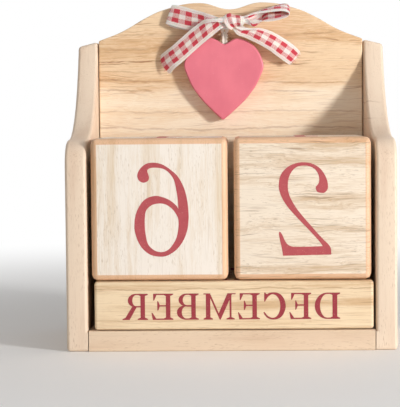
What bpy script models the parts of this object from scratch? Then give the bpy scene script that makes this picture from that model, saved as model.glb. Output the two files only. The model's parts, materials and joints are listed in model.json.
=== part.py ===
"""A wooden block calendar.

An open case of four boards holds two number blocks over a row of month bars. A flat heart hangs on twine
from a tack in the crowned back board, under a tied ribbon bow. X runs along the width, the front faces -Y,
and Z is up from the surface that the case stands on. The origin is the middle of that footprint.
"""

import math

import bmesh
import bpy
from mathutils import Vector

MM = 0.001

# Fits
SEAT_GAP = 0.3 * MM
JOINT_GAP = 0.3 * MM
CUT_OVERRUN = 2.0 * MM
MERGE_DISTANCE = 0.001 * MM

# Number blocks
BLOCK_SIZE = 50.0 * MM
BLOCK_HEIGHT = 52.0 * MM
BLOCK_EASE = 2.2 * MM
BLOCK_MIDDLE_GAP = 2.2 * MM
BLOCK_SIDE_GAP = 1.6 * MM
BLOCK_BACK_GAP = 5.5 * MM

# Month bars
MONTH_BAR_NAMES = ("month_bar_front", "month_bar_middle", "month_bar_rear")
MONTH_BAR_BACK_GAP = 1.5 * MM
MONTH_BAR_END_PLAY = 3.4 * MM
MONTH_BAR_EASE = 1.1 * MM
FRONT_BAR_SHIFT = 0.8 * MM

# Case boards
SIDE_THICKNESS = 7.8 * MM
BASE_THICKNESS = 7.6 * MM
BACK_THICKNESS = 7.8 * MM
SIDE_EASE = 1.2 * MM
BOARD_EASE = 0.6 * MM
EASE_STEPS = 2
EASE_ANGLE = math.radians(35)
FLAT_ANGLE = math.radians(1)

# The curved front edge of a side board
SHOULDER_BELOW_BLOCK = 0.5 * MM
SHOULDER_RADIUS = 9.5 * MM
SCOOP_BELOW_TOP = 3.7 * MM
SIDE_TOP_STEP = 0.3 * MM
SIDE_TOP_FALL = 1.9 * MM
SCOOP_START_SHARE = 0.45
SCOOP_END_SHARES = (0.2, 0.64)
QUARTER_CIRCLE_SHARE = 0.5523
CURVE_STEPS = 8

# The back board's crown
BACK_EDGE_HEIGHT = 116.0 * MM
CROWN_RISE = 14.7 * MM
CROWN_SHARES = ((1.0, 0.0), (0.82, 0.25), (0.637, 0.615), (0.515, 0.81), (0.229, 1.0))
CROWN_DIP_SHARE = 0.823

# Tack that holds the twine
TACK_BELOW_CROWN = 9.7 * MM
TACK_OFFSET = -2.2 * MM
TACK_SHANK_RADIUS = 0.5 * MM
TACK_DEPTH = 6.0 * MM
TACK_HEAD_RADIUS = 1.2 * MM
TACK_HEAD_THICKNESS = 0.7 * MM
TACK_POINT = 1.2 * MM

# Heart
HEART_WIDTH = 31.0 * MM
HEART_HEIGHT = 32.4 * MM
HEART_THICKNESS = 4.5 * MM
HEART_EASE = 0.7 * MM
HEART_BACK_GAP = 0.5 * MM
HEART_DROP = 7.0 * MM
HEART_CLEFT_SHARE = 0.925
HEART_SHARES = ((0.4, 1.0), (1.0, 0.716), (0.91, 0.515), (0.67, 0.32), (0.29, 0.125))

# Twine
TWINE_RADIUS = 0.6 * MM
TWINE_FIT = 0.15 * MM
TWINE_LEG_GAP = 0.15 * MM
TWINE_SOCKET_DEPTH = 4.0 * MM
TWINE_SOCKET_FIT = 0.2 * MM
TWINE_END_GAP = 0.3 * MM
TWINE_LEG_STEPS = 7
TWINE_ARC_STEPS = 10

# Ribbon bow
RIBBON_WIDTH = 8.0 * MM
RIBBON_THICKNESS = 0.45 * MM
RIBBON_STEPS = 30
RIBBON_CROSS_STEPS = 4
RIBBON_GATHER_LENGTH = 8.0 * MM
KNOT_WIDTH = 8.6 * MM
KNOT_HEIGHT = 5.8 * MM
KNOT_DEPTH = 5.2 * MM
KNOT_EASE = 1.5 * MM
KNOT_OFFSET = 3.4 * MM
KNOT_RISE = 1.8 * MM
KNOT_STANDOFF = 6.8 * MM

LOOP_SHARES = ((0.0, 0.34), (0.2, 0.66), (0.45, 0.95), (0.68, 1.0), (0.85, 0.86), (0.96, 0.5), (1.0, 0.0))
LEFT_LOOP_LENGTH = 21.0 * MM
LEFT_LOOP_OPENING = 2.4 * MM
LEFT_LOOP_STANDOFF = 6.9 * MM
LEFT_LOOP_DROP = 0.5 * MM
LEFT_LOOP_TILT = math.radians(11)
RIGHT_LOOP_LENGTH = 17.6 * MM
RIGHT_LOOP_OPENING = 1.6 * MM
RIGHT_LOOP_STANDOFF = 6.4 * MM
RIGHT_LOOP_LIFT = 1.3 * MM
RIGHT_LOOP_TILT = math.radians(11)
RIGHT_LOOP_ROLL = math.radians(25)
LEFT_LOOP_ROOT_SHARE = 0.5
RIGHT_LOOP_ROOT_SHARE = 0.6

LEFT_TAIL_RUN = 22.2 * MM
LEFT_TAIL_FALL = 15.4 * MM
LEFT_TAIL_BOW = 0.9 * MM
LEFT_TAIL_ROOT_DROP = 0.5 * MM
LEFT_TAIL_ROOT_STANDOFF = 10.9 * MM
LEFT_TAIL_END_STANDOFF = 7.4 * MM
LEFT_TAIL_ROOT_SHARE = 0.5
RIGHT_TAIL_RUN = 21.4 * MM
RIGHT_TAIL_FALL = 11.2 * MM
RIGHT_TAIL_BOW = 2.3 * MM
RIGHT_TAIL_ROOT_RUN = 2.6 * MM
RIGHT_TAIL_ROOT_DROP = 3.0 * MM
RIGHT_TAIL_ROOT_STANDOFF = 6.2 * MM
RIGHT_TAIL_END_STANDOFF = 5.6 * MM
RIGHT_TAIL_ROOT_SHARE = 0.62
TAIL_BELLY = 1.2 * MM
TAIL_CUT_SLANT = 1.1 * MM

# Brad nails
NAIL_RADIUS = 0.6 * MM
NAIL_LENGTH = 18.0 * MM
NAIL_POINT = 1.8 * MM
NAIL_HEAD_RADIUS = 1.0 * MM
NAIL_HEAD_THICKNESS = 0.6 * MM
NAIL_SUNK = 0.5 * MM
NAIL_FIT = 0.2 * MM
NAIL_SIDES = 12
SIDE_NAIL_SHARES = (0.22, 0.72)
BACK_NAIL_SHARES = (0.26, 0.8)
REAR_NAIL_SHARES = (-0.66, 0.0, 0.66)

# Derived sizes
INNER_WIDTH = 2 * BLOCK_SIZE + BLOCK_MIDDLE_GAP + 2 * BLOCK_SIDE_GAP
CASE_WIDTH = INNER_WIDTH + 2 * SIDE_THICKNESS
BAY_DEPTH = BLOCK_SIZE + BLOCK_BACK_GAP
CASE_DEPTH = BAY_DEPTH + BACK_THICKNESS
FRONT_Y = -CASE_DEPTH / 2
BACK_FACE_Y = FRONT_Y + BAY_DEPTH
REAR_Y = CASE_DEPTH / 2
BAR_COUNT = len(MONTH_BAR_NAMES)
BAR_SIZE = (BAY_DEPTH - MONTH_BAR_BACK_GAP - (BAR_COUNT - 1) * SEAT_GAP) / BAR_COUNT
BAR_LENGTH = INNER_WIDTH - MONTH_BAR_END_PLAY
BAR_BOTTOM = BASE_THICKNESS + SEAT_GAP
BLOCK_BOTTOM = BAR_BOTTOM + BAR_SIZE + SEAT_GAP
BLOCK_TOP = BLOCK_BOTTOM + BLOCK_HEIGHT
SIDE_TOP = BACK_EDGE_HEIGHT - SIDE_TOP_STEP
BACK_HALF_WIDTH = INNER_WIDTH / 2 - JOINT_GAP
CROWN_TOP = BACK_EDGE_HEIGHT + CROWN_RISE
TACK_Z = CROWN_TOP - TACK_BELOW_CROWN
CLEFT_Z = TACK_Z - HEART_DROP
HEART_TIP_Z = CLEFT_Z - HEART_CLEFT_SHARE * HEART_HEIGHT
HEART_Y = BACK_FACE_Y - HEART_BACK_GAP - HEART_THICKNESS / 2
TWINE_ARC_RADIUS = TACK_SHANK_RADIUS + TWINE_RADIUS + TWINE_FIT
TWINE_LEG_X = TWINE_RADIUS + TWINE_LEG_GAP
KNOT_X = TACK_OFFSET + KNOT_OFFSET
KNOT_Z = TACK_Z + KNOT_RISE
KNOT_LEFT = KNOT_X - KNOT_WIDTH / 2
KNOT_RIGHT = KNOT_X + KNOT_WIDTH / 2

# Colours, roughness and metallic
PINE = ((0.78, 0.58, 0.36, 1.0), 0.6, 0.0)
BOARD = ((0.80, 0.62, 0.42, 1.0), 0.65, 0.0)
PALE_WOOD = ((0.82, 0.70, 0.56, 1.0), 0.6, 0.0)
PINK_PAINT = ((0.74, 0.16, 0.20, 1.0), 0.5, 0.0)
JUTE = ((0.78, 0.66, 0.48, 1.0), 0.9, 0.0)
GINGHAM = ((0.85, 0.42, 0.44, 1.0), 0.85, 0.0)
STEEL = ((0.55, 0.55, 0.56, 1.0), 0.35, 1.0)


def clear_scene():
    for old in list(bpy.data.objects):
        bpy.data.objects.remove(old, do_unlink=True)


def collection_named(name):
    collection = bpy.data.collections.new(name)
    bpy.context.scene.collection.children.link(collection)
    return collection


def set_material(item, look):
    colour, roughness, metallic = look
    material = bpy.data.materials.new(item.name)
    material.use_nodes = True
    shader = material.node_tree.nodes["Principled BSDF"]
    shader.inputs["Base Color"].default_value = colour
    shader.inputs["Roughness"].default_value = roughness
    shader.inputs["Metallic"].default_value = metallic
    item.data.materials.clear()
    item.data.materials.append(material)


def keep(item, name, collection, look=None):
    """Name an object, put it in one collection and give it its material."""
    item.name = name
    item.data.name = name
    for old in list(item.users_collection):
        old.objects.unlink(item)
    collection.objects.link(item)
    if look:
        set_material(item, look)
    return item


def make_cutter(item, name):
    keep(item, name, CUTTERS)
    item.hide_render = True
    item.display_type = "WIRE"
    return item


def cut(item, cutter):
    boolean = item.modifiers.new("Cut " + cutter.name, "BOOLEAN")
    boolean.operation = "DIFFERENCE"
    boolean.solver = "EXACT"
    boolean.object = cutter


def ease_edges(item, width, steps=EASE_STEPS):
    bevel = item.modifiers.new("Eased edges", "BEVEL")
    bevel.width = width
    bevel.segments = steps
    bevel.limit_method = "ANGLE"
    bevel.angle_limit = EASE_ANGLE
    bevel.use_clamp_overlap = True


def add_box(size, centre):
    bpy.ops.mesh.primitive_cube_add(size=1.0, location=centre)
    box = bpy.context.object
    box.scale = size
    bpy.ops.object.transform_apply(location=False, rotation=False, scale=True)
    return box


def outline_board(name, points, thickness, rotation, location, look):
    """A flat board from a closed outline of (place, left handle, right handle); a point without handles
    is a corner if it says so, and otherwise runs smoothly through."""
    curve = bpy.data.curves.new(name, "CURVE")
    curve.dimensions = "2D"
    curve.fill_mode = "BOTH"
    curve.extrude = thickness / 2
    curve.resolution_u = CURVE_STEPS
    spline = curve.splines.new("BEZIER")
    spline.bezier_points.add(len(points) - 1)
    spline.use_cyclic_u = True
    for knot, (place, left, right) in zip(spline.bezier_points, points):
        knot.co = (*place, 0.0)
        knot.handle_left_type = handle_type(left)
        knot.handle_right_type = handle_type(right)
        if knot.handle_left_type == "FREE":
            knot.handle_left = (*left, 0.0)
        if knot.handle_right_type == "FREE":
            knot.handle_right = (*right, 0.0)
    drawn = bpy.data.objects.new(name + " outline", curve)
    bpy.context.scene.collection.objects.link(drawn)
    bpy.context.view_layer.update()
    mesh = bpy.data.meshes.new_from_object(drawn.evaluated_get(bpy.context.evaluated_depsgraph_get()))
    bpy.data.objects.remove(drawn, do_unlink=True)
    shape = bmesh.new()
    shape.from_mesh(mesh)
    bmesh.ops.remove_doubles(shape, verts=shape.verts, dist=MERGE_DISTANCE)
    bmesh.ops.dissolve_limit(shape, angle_limit=FLAT_ANGLE, verts=shape.verts, edges=shape.edges)
    shape.to_mesh(mesh)
    shape.free()
    board = bpy.data.objects.new(name, mesh)
    board.rotation_euler = rotation
    board.location = location
    return keep(board, name, PARTS, look)


def handle_type(handle):
    if handle == "corner":
        return "VECTOR"
    return "AUTO" if handle == "smooth" else "FREE"


def corner(x, z):
    return ((x, z), "corner", "corner")


def smooth(x, z):
    return ((x, z), "smooth", "smooth")


def side_outline():
    """The side board seen from its left: distance back from the front, and height."""
    shoulder_z = BLOCK_TOP - SHOULDER_BELOW_BLOCK
    scoop_top = SIDE_TOP - SCOOP_BELOW_TOP
    arc = QUARTER_CIRCLE_SHARE * SHOULDER_RADIUS
    run = BAY_DEPTH - SHOULDER_RADIUS
    rise = scoop_top - shoulder_z
    end_back, end_down = SCOOP_END_SHARES
    arc_start = (0.0, shoulder_z - SHOULDER_RADIUS)
    arc_end = (SHOULDER_RADIUS, shoulder_z)
    scoop_end = (BAY_DEPTH, scoop_top)
    return [
        corner(0.0, 0.0),
        (arc_start, "corner", (0.0, arc_start[1] + arc)),
        (arc_end, (arc_end[0] - arc, shoulder_z), (arc_end[0] + SCOOP_START_SHARE * run, shoulder_z)),
        (scoop_end, (BAY_DEPTH - end_back * run, scoop_top - end_down * rise), "corner"),
        corner(BAY_DEPTH, SIDE_TOP),
        corner(CASE_DEPTH, SIDE_TOP),
        corner(CASE_DEPTH, 0.0),
    ]


def make_side(name, hand):
    """One side board. hand is -1 on the left and 1 on the right."""
    board = outline_board(name, side_outline(), SIDE_THICKNESS, (math.pi / 2, 0.0, math.pi / 2),
                          (hand * (CASE_WIDTH - SIDE_THICKNESS) / 2, FRONT_Y, 0.0), BOARD)
    slope = SIDE_TOP_FALL / SIDE_THICKNESS
    shape = bmesh.new()
    shape.from_mesh(board.data)
    for vert in shape.verts:
        if vert.co.y > SIDE_TOP - MERGE_DISTANCE:
            vert.co.y -= slope * (SIDE_THICKNESS / 2 + hand * vert.co.z)
    shape.to_mesh(board.data)
    shape.free()
    ease_edges(board, SIDE_EASE)
    return board


def mirrored(half):
    return half + [((-place[0], place[1]), right, left) for place, left, right in reversed(half)]


def back_outline():
    half = [corner(BACK_HALF_WIDTH, 0.0)]
    for across, up in CROWN_SHARES:
        point = smooth if up > 0 else corner
        half.append(point(across * BACK_HALF_WIDTH, BACK_EDGE_HEIGHT + up * CROWN_RISE))
    whole = mirrored(half)
    whole.insert(len(half), smooth(0.0, BACK_EDGE_HEIGHT + CROWN_DIP_SHARE * CROWN_RISE))
    return whole


def make_back():
    board = outline_board("back_board", back_outline(), BACK_THICKNESS, (math.pi / 2, 0.0, 0.0),
                          (0.0, BACK_FACE_Y + BACK_THICKNESS / 2, 0.0), PINE)
    ease_edges(board, BOARD_EASE)
    return board


def make_base():
    depth = BAY_DEPTH - JOINT_GAP
    board = add_box((INNER_WIDTH - 2 * JOINT_GAP, depth, BASE_THICKNESS),
                    (0.0, FRONT_Y + depth / 2, BASE_THICKNESS / 2))
    keep(board, "base_board", PARTS, BOARD)
    ease_edges(board, BOARD_EASE)
    return board


def make_blocks():
    for name, hand in (("number_cube_left", -1), ("number_cube_right", 1)):
        place = (hand * (BLOCK_MIDDLE_GAP + BLOCK_SIZE) / 2, FRONT_Y + BLOCK_SIZE / 2,
                 BLOCK_BOTTOM + BLOCK_HEIGHT / 2)
        block = keep(add_box((BLOCK_SIZE, BLOCK_SIZE, BLOCK_HEIGHT), place), name, PARTS, PALE_WOOD)
        ease_edges(block, BLOCK_EASE)


def make_month_bars():
    pitch = BAR_SIZE + SEAT_GAP
    for row, name in enumerate(MONTH_BAR_NAMES):
        shift = FRONT_BAR_SHIFT if row == 0 else 0.0
        place = (shift, FRONT_Y + row * pitch + BAR_SIZE / 2, BAR_BOTTOM + BAR_SIZE / 2)
        bar = keep(add_box((BAR_LENGTH, BAR_SIZE, BAR_SIZE), place), name, PARTS, PINE)
        ease_edges(bar, MONTH_BAR_EASE)


def turned(name, profile, look, collection):
    """A round piece about its own Z, from a profile of (radius, height) that runs down."""
    shape = bmesh.new()
    verts = [shape.verts.new((radius, 0.0, height)) for radius, height in profile]
    for upper, lower in zip(verts, verts[1:]):
        shape.edges.new((upper, lower))
    mesh = bpy.data.meshes.new(name)
    shape.to_mesh(mesh)
    shape.free()
    item = bpy.data.objects.new(name, mesh)
    keep(item, name, collection, look)
    screw = item.modifiers.new("Turned", "SCREW")
    screw.axis = "Z"
    screw.steps = NAIL_SIDES
    screw.render_steps = NAIL_SIDES
    screw.use_merge_vertices = True
    screw.merge_threshold = MERGE_DISTANCE
    return item


def nail_profile():
    return [
        (0.0, 0.0),
        (NAIL_HEAD_RADIUS, 0.0),
        (NAIL_HEAD_RADIUS, -NAIL_HEAD_THICKNESS),
        (NAIL_RADIUS, -NAIL_HEAD_THICKNESS),
        (NAIL_RADIUS, NAIL_POINT - NAIL_LENGTH),
        (0.0, -NAIL_LENGTH),
    ]


def bore_profile():
    """The nail's hole: the head's recess out past the board's face, and the shank's bore past its point."""
    head = NAIL_HEAD_RADIUS + NAIL_FIT
    shank = NAIL_RADIUS + NAIL_FIT
    recess = -NAIL_HEAD_THICKNESS - NAIL_FIT
    return [
        (0.0, CUT_OVERRUN),
        (head, CUT_OVERRUN),
        (head, recess),
        (shank, recess),
        (shank, -NAIL_LENGTH - NAIL_FIT),
        (0.0, -NAIL_LENGTH - NAIL_FIT),
    ]


def drive_nail(name, place, rotation, boards):
    """A nail, and the hole for it through the boards that it joins."""
    nail = turned(name, nail_profile(), STEEL, PARTS)
    bore = make_cutter(turned(name + "_bore", bore_profile(), None, CUTTERS), name + "_bore")
    for item in (nail, bore):
        item.location = place
        item.rotation_euler = rotation
    for board in boards:
        cut(board, bore)


def drive_nails(back, sides, base):
    base_z = BASE_THICKNESS / 2
    for hand, side in sides.items():
        word = "left" if hand < 0 else "right"
        face_x = hand * (CASE_WIDTH / 2 - NAIL_SUNK)
        outward = (0.0, hand * math.pi / 2, 0.0)
        for number, share in enumerate(SIDE_NAIL_SHARES, 1):
            place = (face_x, FRONT_Y + share * BAY_DEPTH, base_z)
            drive_nail(f"nail_{word}_base_{number}", place, outward, (side, base))
        for number, share in enumerate(BACK_NAIL_SHARES, 1):
            place = (face_x, BACK_FACE_Y + BACK_THICKNESS / 2, share * SIDE_TOP)
            drive_nail(f"nail_{word}_back_{number}", place, outward, (side, back))
    for number, share in enumerate(REAR_NAIL_SHARES, 1):
        place = (share * INNER_WIDTH / 2, REAR_Y - NAIL_SUNK, base_z)
        drive_nail(f"nail_rear_{number}", place, (-math.pi / 2, 0.0, 0.0), (back, base))


def make_tack(back):
    """The tack stands in the back board, through the twine's loop, with the knot glued to its head."""
    front = BACK_FACE_Y - KNOT_STANDOFF + SEAT_GAP
    length = BACK_FACE_Y + TACK_DEPTH - front
    profile = [
        (0.0, 0.0),
        (TACK_HEAD_RADIUS, 0.0),
        (TACK_HEAD_RADIUS, -TACK_HEAD_THICKNESS),
        (TACK_SHANK_RADIUS, -TACK_HEAD_THICKNESS),
        (TACK_SHANK_RADIUS, TACK_POINT - length),
        (0.0, -length),
    ]
    tack = turned("hanging_tack", profile, STEEL, PARTS)
    bore_radius = TACK_SHANK_RADIUS + NAIL_FIT
    bore_length = TACK_DEPTH + NAIL_FIT + CUT_OVERRUN
    bpy.ops.mesh.primitive_cylinder_add(
        vertices=NAIL_SIDES, radius=bore_radius, depth=bore_length, rotation=(math.pi / 2, 0.0, 0.0),
        location=(TACK_OFFSET, BACK_FACE_Y - CUT_OVERRUN + bore_length / 2, TACK_Z))
    cut(back, make_cutter(bpy.context.object, "tack_bore"))
    tack.location = (TACK_OFFSET, front, TACK_Z)
    tack.rotation_euler = (math.pi / 2, 0.0, 0.0)


def heart_outline():
    cleft = HEART_CLEFT_SHARE * HEART_HEIGHT
    half = [corner(0.0, 0.0)]
    half += [smooth(across * HEART_WIDTH / 2, up * HEART_HEIGHT) for across, up in reversed(HEART_SHARES)]
    whole = mirrored(half)
    whole.insert(len(half), corner(0.0, cleft))
    return whole[:-1]


def make_heart(pivot):
    """The heart, with its back near the board, drilled at its cleft for the twine's two ends."""
    socket_radius = TWINE_RADIUS + TWINE_SOCKET_FIT
    place = Vector((TACK_OFFSET, HEART_Y, HEART_TIP_Z))
    heart = outline_board("heart", heart_outline(), HEART_THICKNESS, (math.pi / 2, 0.0, 0.0),
                          place - pivot.location, PINK_PAINT)
    heart.parent = pivot
    ease_edges(heart, HEART_EASE)
    socket = add_box((2 * (TWINE_LEG_X + socket_radius), 2 * socket_radius, TWINE_SOCKET_DEPTH + CUT_OVERRUN),
                     (TACK_OFFSET, HEART_Y, CLEFT_Z + (CUT_OVERRUN - TWINE_SOCKET_DEPTH) / 2))
    cut(heart, make_cutter(socket, "heart_socket"))


def twine_route():
    """Up one leg from the heart's socket, round the tack and down the other, about the tack."""
    bottom = CLEFT_Z - TWINE_SOCKET_DEPTH + TWINE_END_GAP - TACK_Z
    cleft = CLEFT_Z - TACK_Z
    leg = [Vector((TWINE_LEG_X, 0.0, bottom)), Vector((TWINE_LEG_X, 0.0, cleft))]
    for step in range(1, TWINE_LEG_STEPS):
        share = step / TWINE_LEG_STEPS
        ease = share * share * (3 - 2 * share)
        leg.append(Vector((TWINE_LEG_X + (TWINE_ARC_RADIUS - TWINE_LEG_X) * ease, 0.0, cleft * (1 - share))))
    arc = []
    for step in range(TWINE_ARC_STEPS + 1):
        angle = math.pi * step / TWINE_ARC_STEPS
        arc.append(Vector((TWINE_ARC_RADIUS * math.cos(angle), 0.0, TWINE_ARC_RADIUS * math.sin(angle))))
    return leg + arc + [Vector((-point.x, 0.0, point.z)) for point in reversed(leg)]


def make_twine(pivot):
    curve = bpy.data.curves.new("heart_cord", "CURVE")
    curve.dimensions = "3D"
    curve.bevel_depth = TWINE_RADIUS
    curve.bevel_resolution = 2
    curve.use_fill_caps = True
    route = twine_route()
    spline = curve.splines.new("POLY")
    spline.points.add(len(route) - 1)
    for point, place in zip(spline.points, route):
        point.co = (*place, 1.0)
    cord = bpy.data.objects.new("heart_cord", curve)
    keep(cord, "heart_cord", PARTS, JUTE)
    cord.parent = pivot
    cord.location = (0.0, HEART_Y - pivot.location.y, 0.0)


def make_knot():
    knot = add_box((KNOT_WIDTH, KNOT_DEPTH, KNOT_HEIGHT),
                   (KNOT_X, BACK_FACE_Y - KNOT_STANDOFF - KNOT_DEPTH / 2, KNOT_Z))
    keep(knot, "bow_knot", PARTS, GINGHAM)
    ease_edges(knot, KNOT_EASE, EASE_STEPS + 1)


def smooth_through(points, share):
    """The place at a share of the way along a smooth curve through the points."""
    spans = len(points) - 1
    place = share * spans
    first = min(int(place), spans - 1)
    part = place - first
    before = points[max(first - 1, 0)]
    start = points[first]
    end = points[first + 1]
    after = points[min(first + 2, spans)]
    bend = 2 * before - 5 * start + 4 * end - after
    twist = 3 * start - before - 3 * end + after
    return 0.5 * (2 * start + (end - before) * part + bend * part**2 + twist * part**3)


def gather(distance, root_share):
    """The share of its full width that the ribbon has, this far from the knot."""
    share = min(distance / RIBBON_GATHER_LENGTH, 1.0)
    return root_share + (1 - root_share) * share * (2 - share)


def bend_ribbon(name, place_of):
    """A flat strip, bent so that each point (along, across) of it lies where place_of says."""
    shape = bmesh.new()
    bmesh.ops.create_grid(shape, x_segments=RIBBON_STEPS, y_segments=RIBBON_CROSS_STEPS, size=0.5)
    for vert in shape.verts:
        vert.co = place_of(vert.co.x + 0.5, vert.co.y)
    bmesh.ops.recalc_face_normals(shape, faces=shape.faces)
    mesh = bpy.data.meshes.new(name)
    shape.to_mesh(mesh)
    shape.free()
    ribbon = keep(bpy.data.objects.new(name, mesh), name, PARTS, GINGHAM)
    solidify = ribbon.modifiers.new("Cloth", "SOLIDIFY")
    solidify.thickness = RIBBON_THICKNESS
    solidify.offset = 0.0


def root_clearance(side, lean, root_share):
    """How far along X a root moves out, so that its leaning end stays clear of the knot."""
    reach = abs(lean) * RIBBON_WIDTH * root_share / 2 + RIBBON_THICKNESS / 2
    return math.copysign(reach, side)


def make_loop(name, root, outward, opening_way, length, opening, root_share):
    half = [Vector((out * length, apart * opening)) for out, apart in LOOP_SHARES]
    route = half + [Vector((point.x, -point.y)) for point in reversed(half[:-1])]
    across_way = outward.cross(opening_way)
    start = root + Vector((root_clearance(outward.x, across_way.x, root_share), 0.0, 0.0))

    def place_of(along, across):
        point = smooth_through(route, along)
        width = RIBBON_WIDTH * gather(point.x, root_share)
        return start + outward * point.x + opening_way * point.y + across_way * across * width

    bend_ribbon(name, place_of)


def make_tail(name, root, run, fall, bow, root_y, end_y, root_share):
    direction = Vector((run, 0.0, -fall)).normalized()
    upward = Vector((fall, 0.0, abs(run))).normalized()
    if run < 0:
        upward.x = -upward.x
    length = math.hypot(run, fall)

    def place_of(along, across):
        rise = math.sin(math.pi * along)
        width = RIBBON_WIDTH * gather(along * length, root_share)
        slant = TAIL_CUT_SLANT * along * 2 * across
        depth = root_y + (end_y - root_y) * along - TAIL_BELLY * rise
        place = root + direction * (along * length + slant) + upward * (bow * rise + across * width)
        return Vector((place.x, depth, place.z))

    bend_ribbon(name, place_of)


def make_bow():
    make_knot()
    left_root = Vector((KNOT_LEFT - SEAT_GAP, BACK_FACE_Y - LEFT_LOOP_STANDOFF, KNOT_Z - LEFT_LOOP_DROP))
    left_out = Vector((-math.cos(LEFT_LOOP_TILT), 0.0, math.sin(LEFT_LOOP_TILT)))
    make_loop("bow_loop_left", left_root, left_out, Vector((0.0, -1.0, 0.0)),
              LEFT_LOOP_LENGTH, LEFT_LOOP_OPENING, LEFT_LOOP_ROOT_SHARE)

    right_root = Vector((KNOT_RIGHT + SEAT_GAP, BACK_FACE_Y - RIGHT_LOOP_STANDOFF, KNOT_Z + RIGHT_LOOP_LIFT))
    right_out = Vector((math.cos(RIGHT_LOOP_TILT), 0.0, math.sin(RIGHT_LOOP_TILT)))
    rearward = Vector((0.0, math.cos(RIGHT_LOOP_ROLL), math.sin(RIGHT_LOOP_ROLL)))
    opening_way = rearward.cross(right_out).normalized()
    make_loop("bow_loop_right", right_root, right_out, opening_way,
              RIGHT_LOOP_LENGTH, RIGHT_LOOP_OPENING, RIGHT_LOOP_ROOT_SHARE)

    lean = LEFT_TAIL_FALL / math.hypot(LEFT_TAIL_RUN, LEFT_TAIL_FALL)
    clearance = root_clearance(-1, lean, LEFT_TAIL_ROOT_SHARE)
    left_tail_root = Vector((KNOT_LEFT - SEAT_GAP + clearance, 0.0, KNOT_Z - LEFT_TAIL_ROOT_DROP))
    make_tail("bow_tail_left", left_tail_root, -LEFT_TAIL_RUN, LEFT_TAIL_FALL, LEFT_TAIL_BOW,
              BACK_FACE_Y - LEFT_TAIL_ROOT_STANDOFF, BACK_FACE_Y - LEFT_TAIL_END_STANDOFF,
              LEFT_TAIL_ROOT_SHARE)

    right_tail_root = Vector((KNOT_X + RIGHT_TAIL_ROOT_RUN, 0.0, KNOT_Z - RIGHT_TAIL_ROOT_DROP))
    make_tail("bow_tail_right", right_tail_root, RIGHT_TAIL_RUN, RIGHT_TAIL_FALL, RIGHT_TAIL_BOW,
              BACK_FACE_Y - RIGHT_TAIL_ROOT_STANDOFF, BACK_FACE_Y - RIGHT_TAIL_END_STANDOFF,
              RIGHT_TAIL_ROOT_SHARE)


def make_calendar():
    back = make_back()
    sides = {-1: make_side("left_side", -1), 1: make_side("right_side", 1)}
    base = make_base()
    make_blocks()
    make_month_bars()
    drive_nails(back, sides, base)
    make_tack(back)

    pivot = bpy.data.objects.new("heart_pivot", None)
    pivot.location = (TACK_OFFSET, BACK_FACE_Y, TACK_Z)
    PARTS.objects.link(pivot)
    make_heart(pivot)
    make_twine(pivot)
    make_bow()


clear_scene()
PARTS = collection_named("block_calendar")
CUTTERS = collection_named("block_calendar_cutters")
make_calendar()
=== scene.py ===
# %% [markdown]
# # A wooden block calendar
# The real object is a small wooden case that holds two number blocks over a row of month bars. A painted
# heart hangs on twine in front of its crowned back board, under a bow of checked ribbon.
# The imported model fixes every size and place. This file gives each piece its wood, paint, print and cloth,
# and it makes the ribbon and the twine again as real ribbon and twine.

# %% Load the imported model
import json
import math
import random

import bpy
from mathutils import Matrix, Vector


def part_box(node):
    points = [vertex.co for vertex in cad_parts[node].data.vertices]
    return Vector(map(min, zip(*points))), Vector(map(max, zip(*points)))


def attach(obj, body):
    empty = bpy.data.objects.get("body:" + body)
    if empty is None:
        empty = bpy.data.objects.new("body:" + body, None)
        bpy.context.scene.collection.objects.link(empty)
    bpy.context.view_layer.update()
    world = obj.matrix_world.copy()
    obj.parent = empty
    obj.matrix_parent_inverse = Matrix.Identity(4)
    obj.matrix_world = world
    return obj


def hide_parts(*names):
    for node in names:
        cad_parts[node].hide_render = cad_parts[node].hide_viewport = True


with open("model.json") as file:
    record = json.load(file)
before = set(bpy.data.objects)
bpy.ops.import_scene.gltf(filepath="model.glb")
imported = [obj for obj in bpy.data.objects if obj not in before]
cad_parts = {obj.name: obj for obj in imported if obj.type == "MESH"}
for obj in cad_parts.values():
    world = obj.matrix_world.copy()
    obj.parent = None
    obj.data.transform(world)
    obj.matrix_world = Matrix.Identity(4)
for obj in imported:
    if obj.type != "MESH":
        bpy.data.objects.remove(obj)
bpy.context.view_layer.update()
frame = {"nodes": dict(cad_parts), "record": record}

MM = 0.001

# %% [markdown]
# ## The camera
# The photograph was taken from a little over half a metre away, slightly above the case, with a long lens.
# A pinhole camera was fitted to the corners of the case. Its three small angles and its place are set here
# as they came out, because angles set by eye would be off by a few pixels.

# %% Camera
FRAME_HEIGHT_PIXELS = 407
FOCAL_PIXELS = 1547.3
SENSOR_SIDE = 36.0
CAMERA_PLACE = Vector((2.77, -593.51, 86.28)) * MM
LOOK_DOWN = 0.05712
LOOK_LEFT = 0.02487
ROLL = -0.009149

camera = bpy.data.cameras.new("photo_camera")
camera.sensor_width = SENSOR_SIDE
camera.lens = SENSOR_SIDE * FOCAL_PIXELS / FRAME_HEIGHT_PIXELS
camera_object = bpy.data.objects.new("photo_camera", camera)
bpy.context.scene.collection.objects.link(camera_object)
facing = Matrix.Rotation(LOOK_LEFT, 4, "Z") @ Matrix.Rotation(math.pi / 2 - LOOK_DOWN, 4, "X")
camera_object.matrix_world = (Matrix.Translation(CAMERA_PLACE) @ facing
                              @ Matrix.Rotation(ROLL, 4, "Z"))
bpy.context.scene.camera = camera_object
print("camera lens in mm:", round(camera.lens, 2))

# %% [markdown]
# ## Helpers for materials
# A material is a small network of nodes. One helper adds a node and fills its inputs: an input takes either
# a plain value or the output of another node. The others add the two kinds of node that come up most.

# %% Node helpers
def fill_inputs(tree, node, inputs):
    """Links an input to another node's output, or gives it a plain value."""
    for name, value in dict(inputs).items():
        if isinstance(value, bpy.types.NodeSocket):
            tree.links.new(value, node.inputs[name])
        else:
            node.inputs[name].default_value = value


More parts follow.
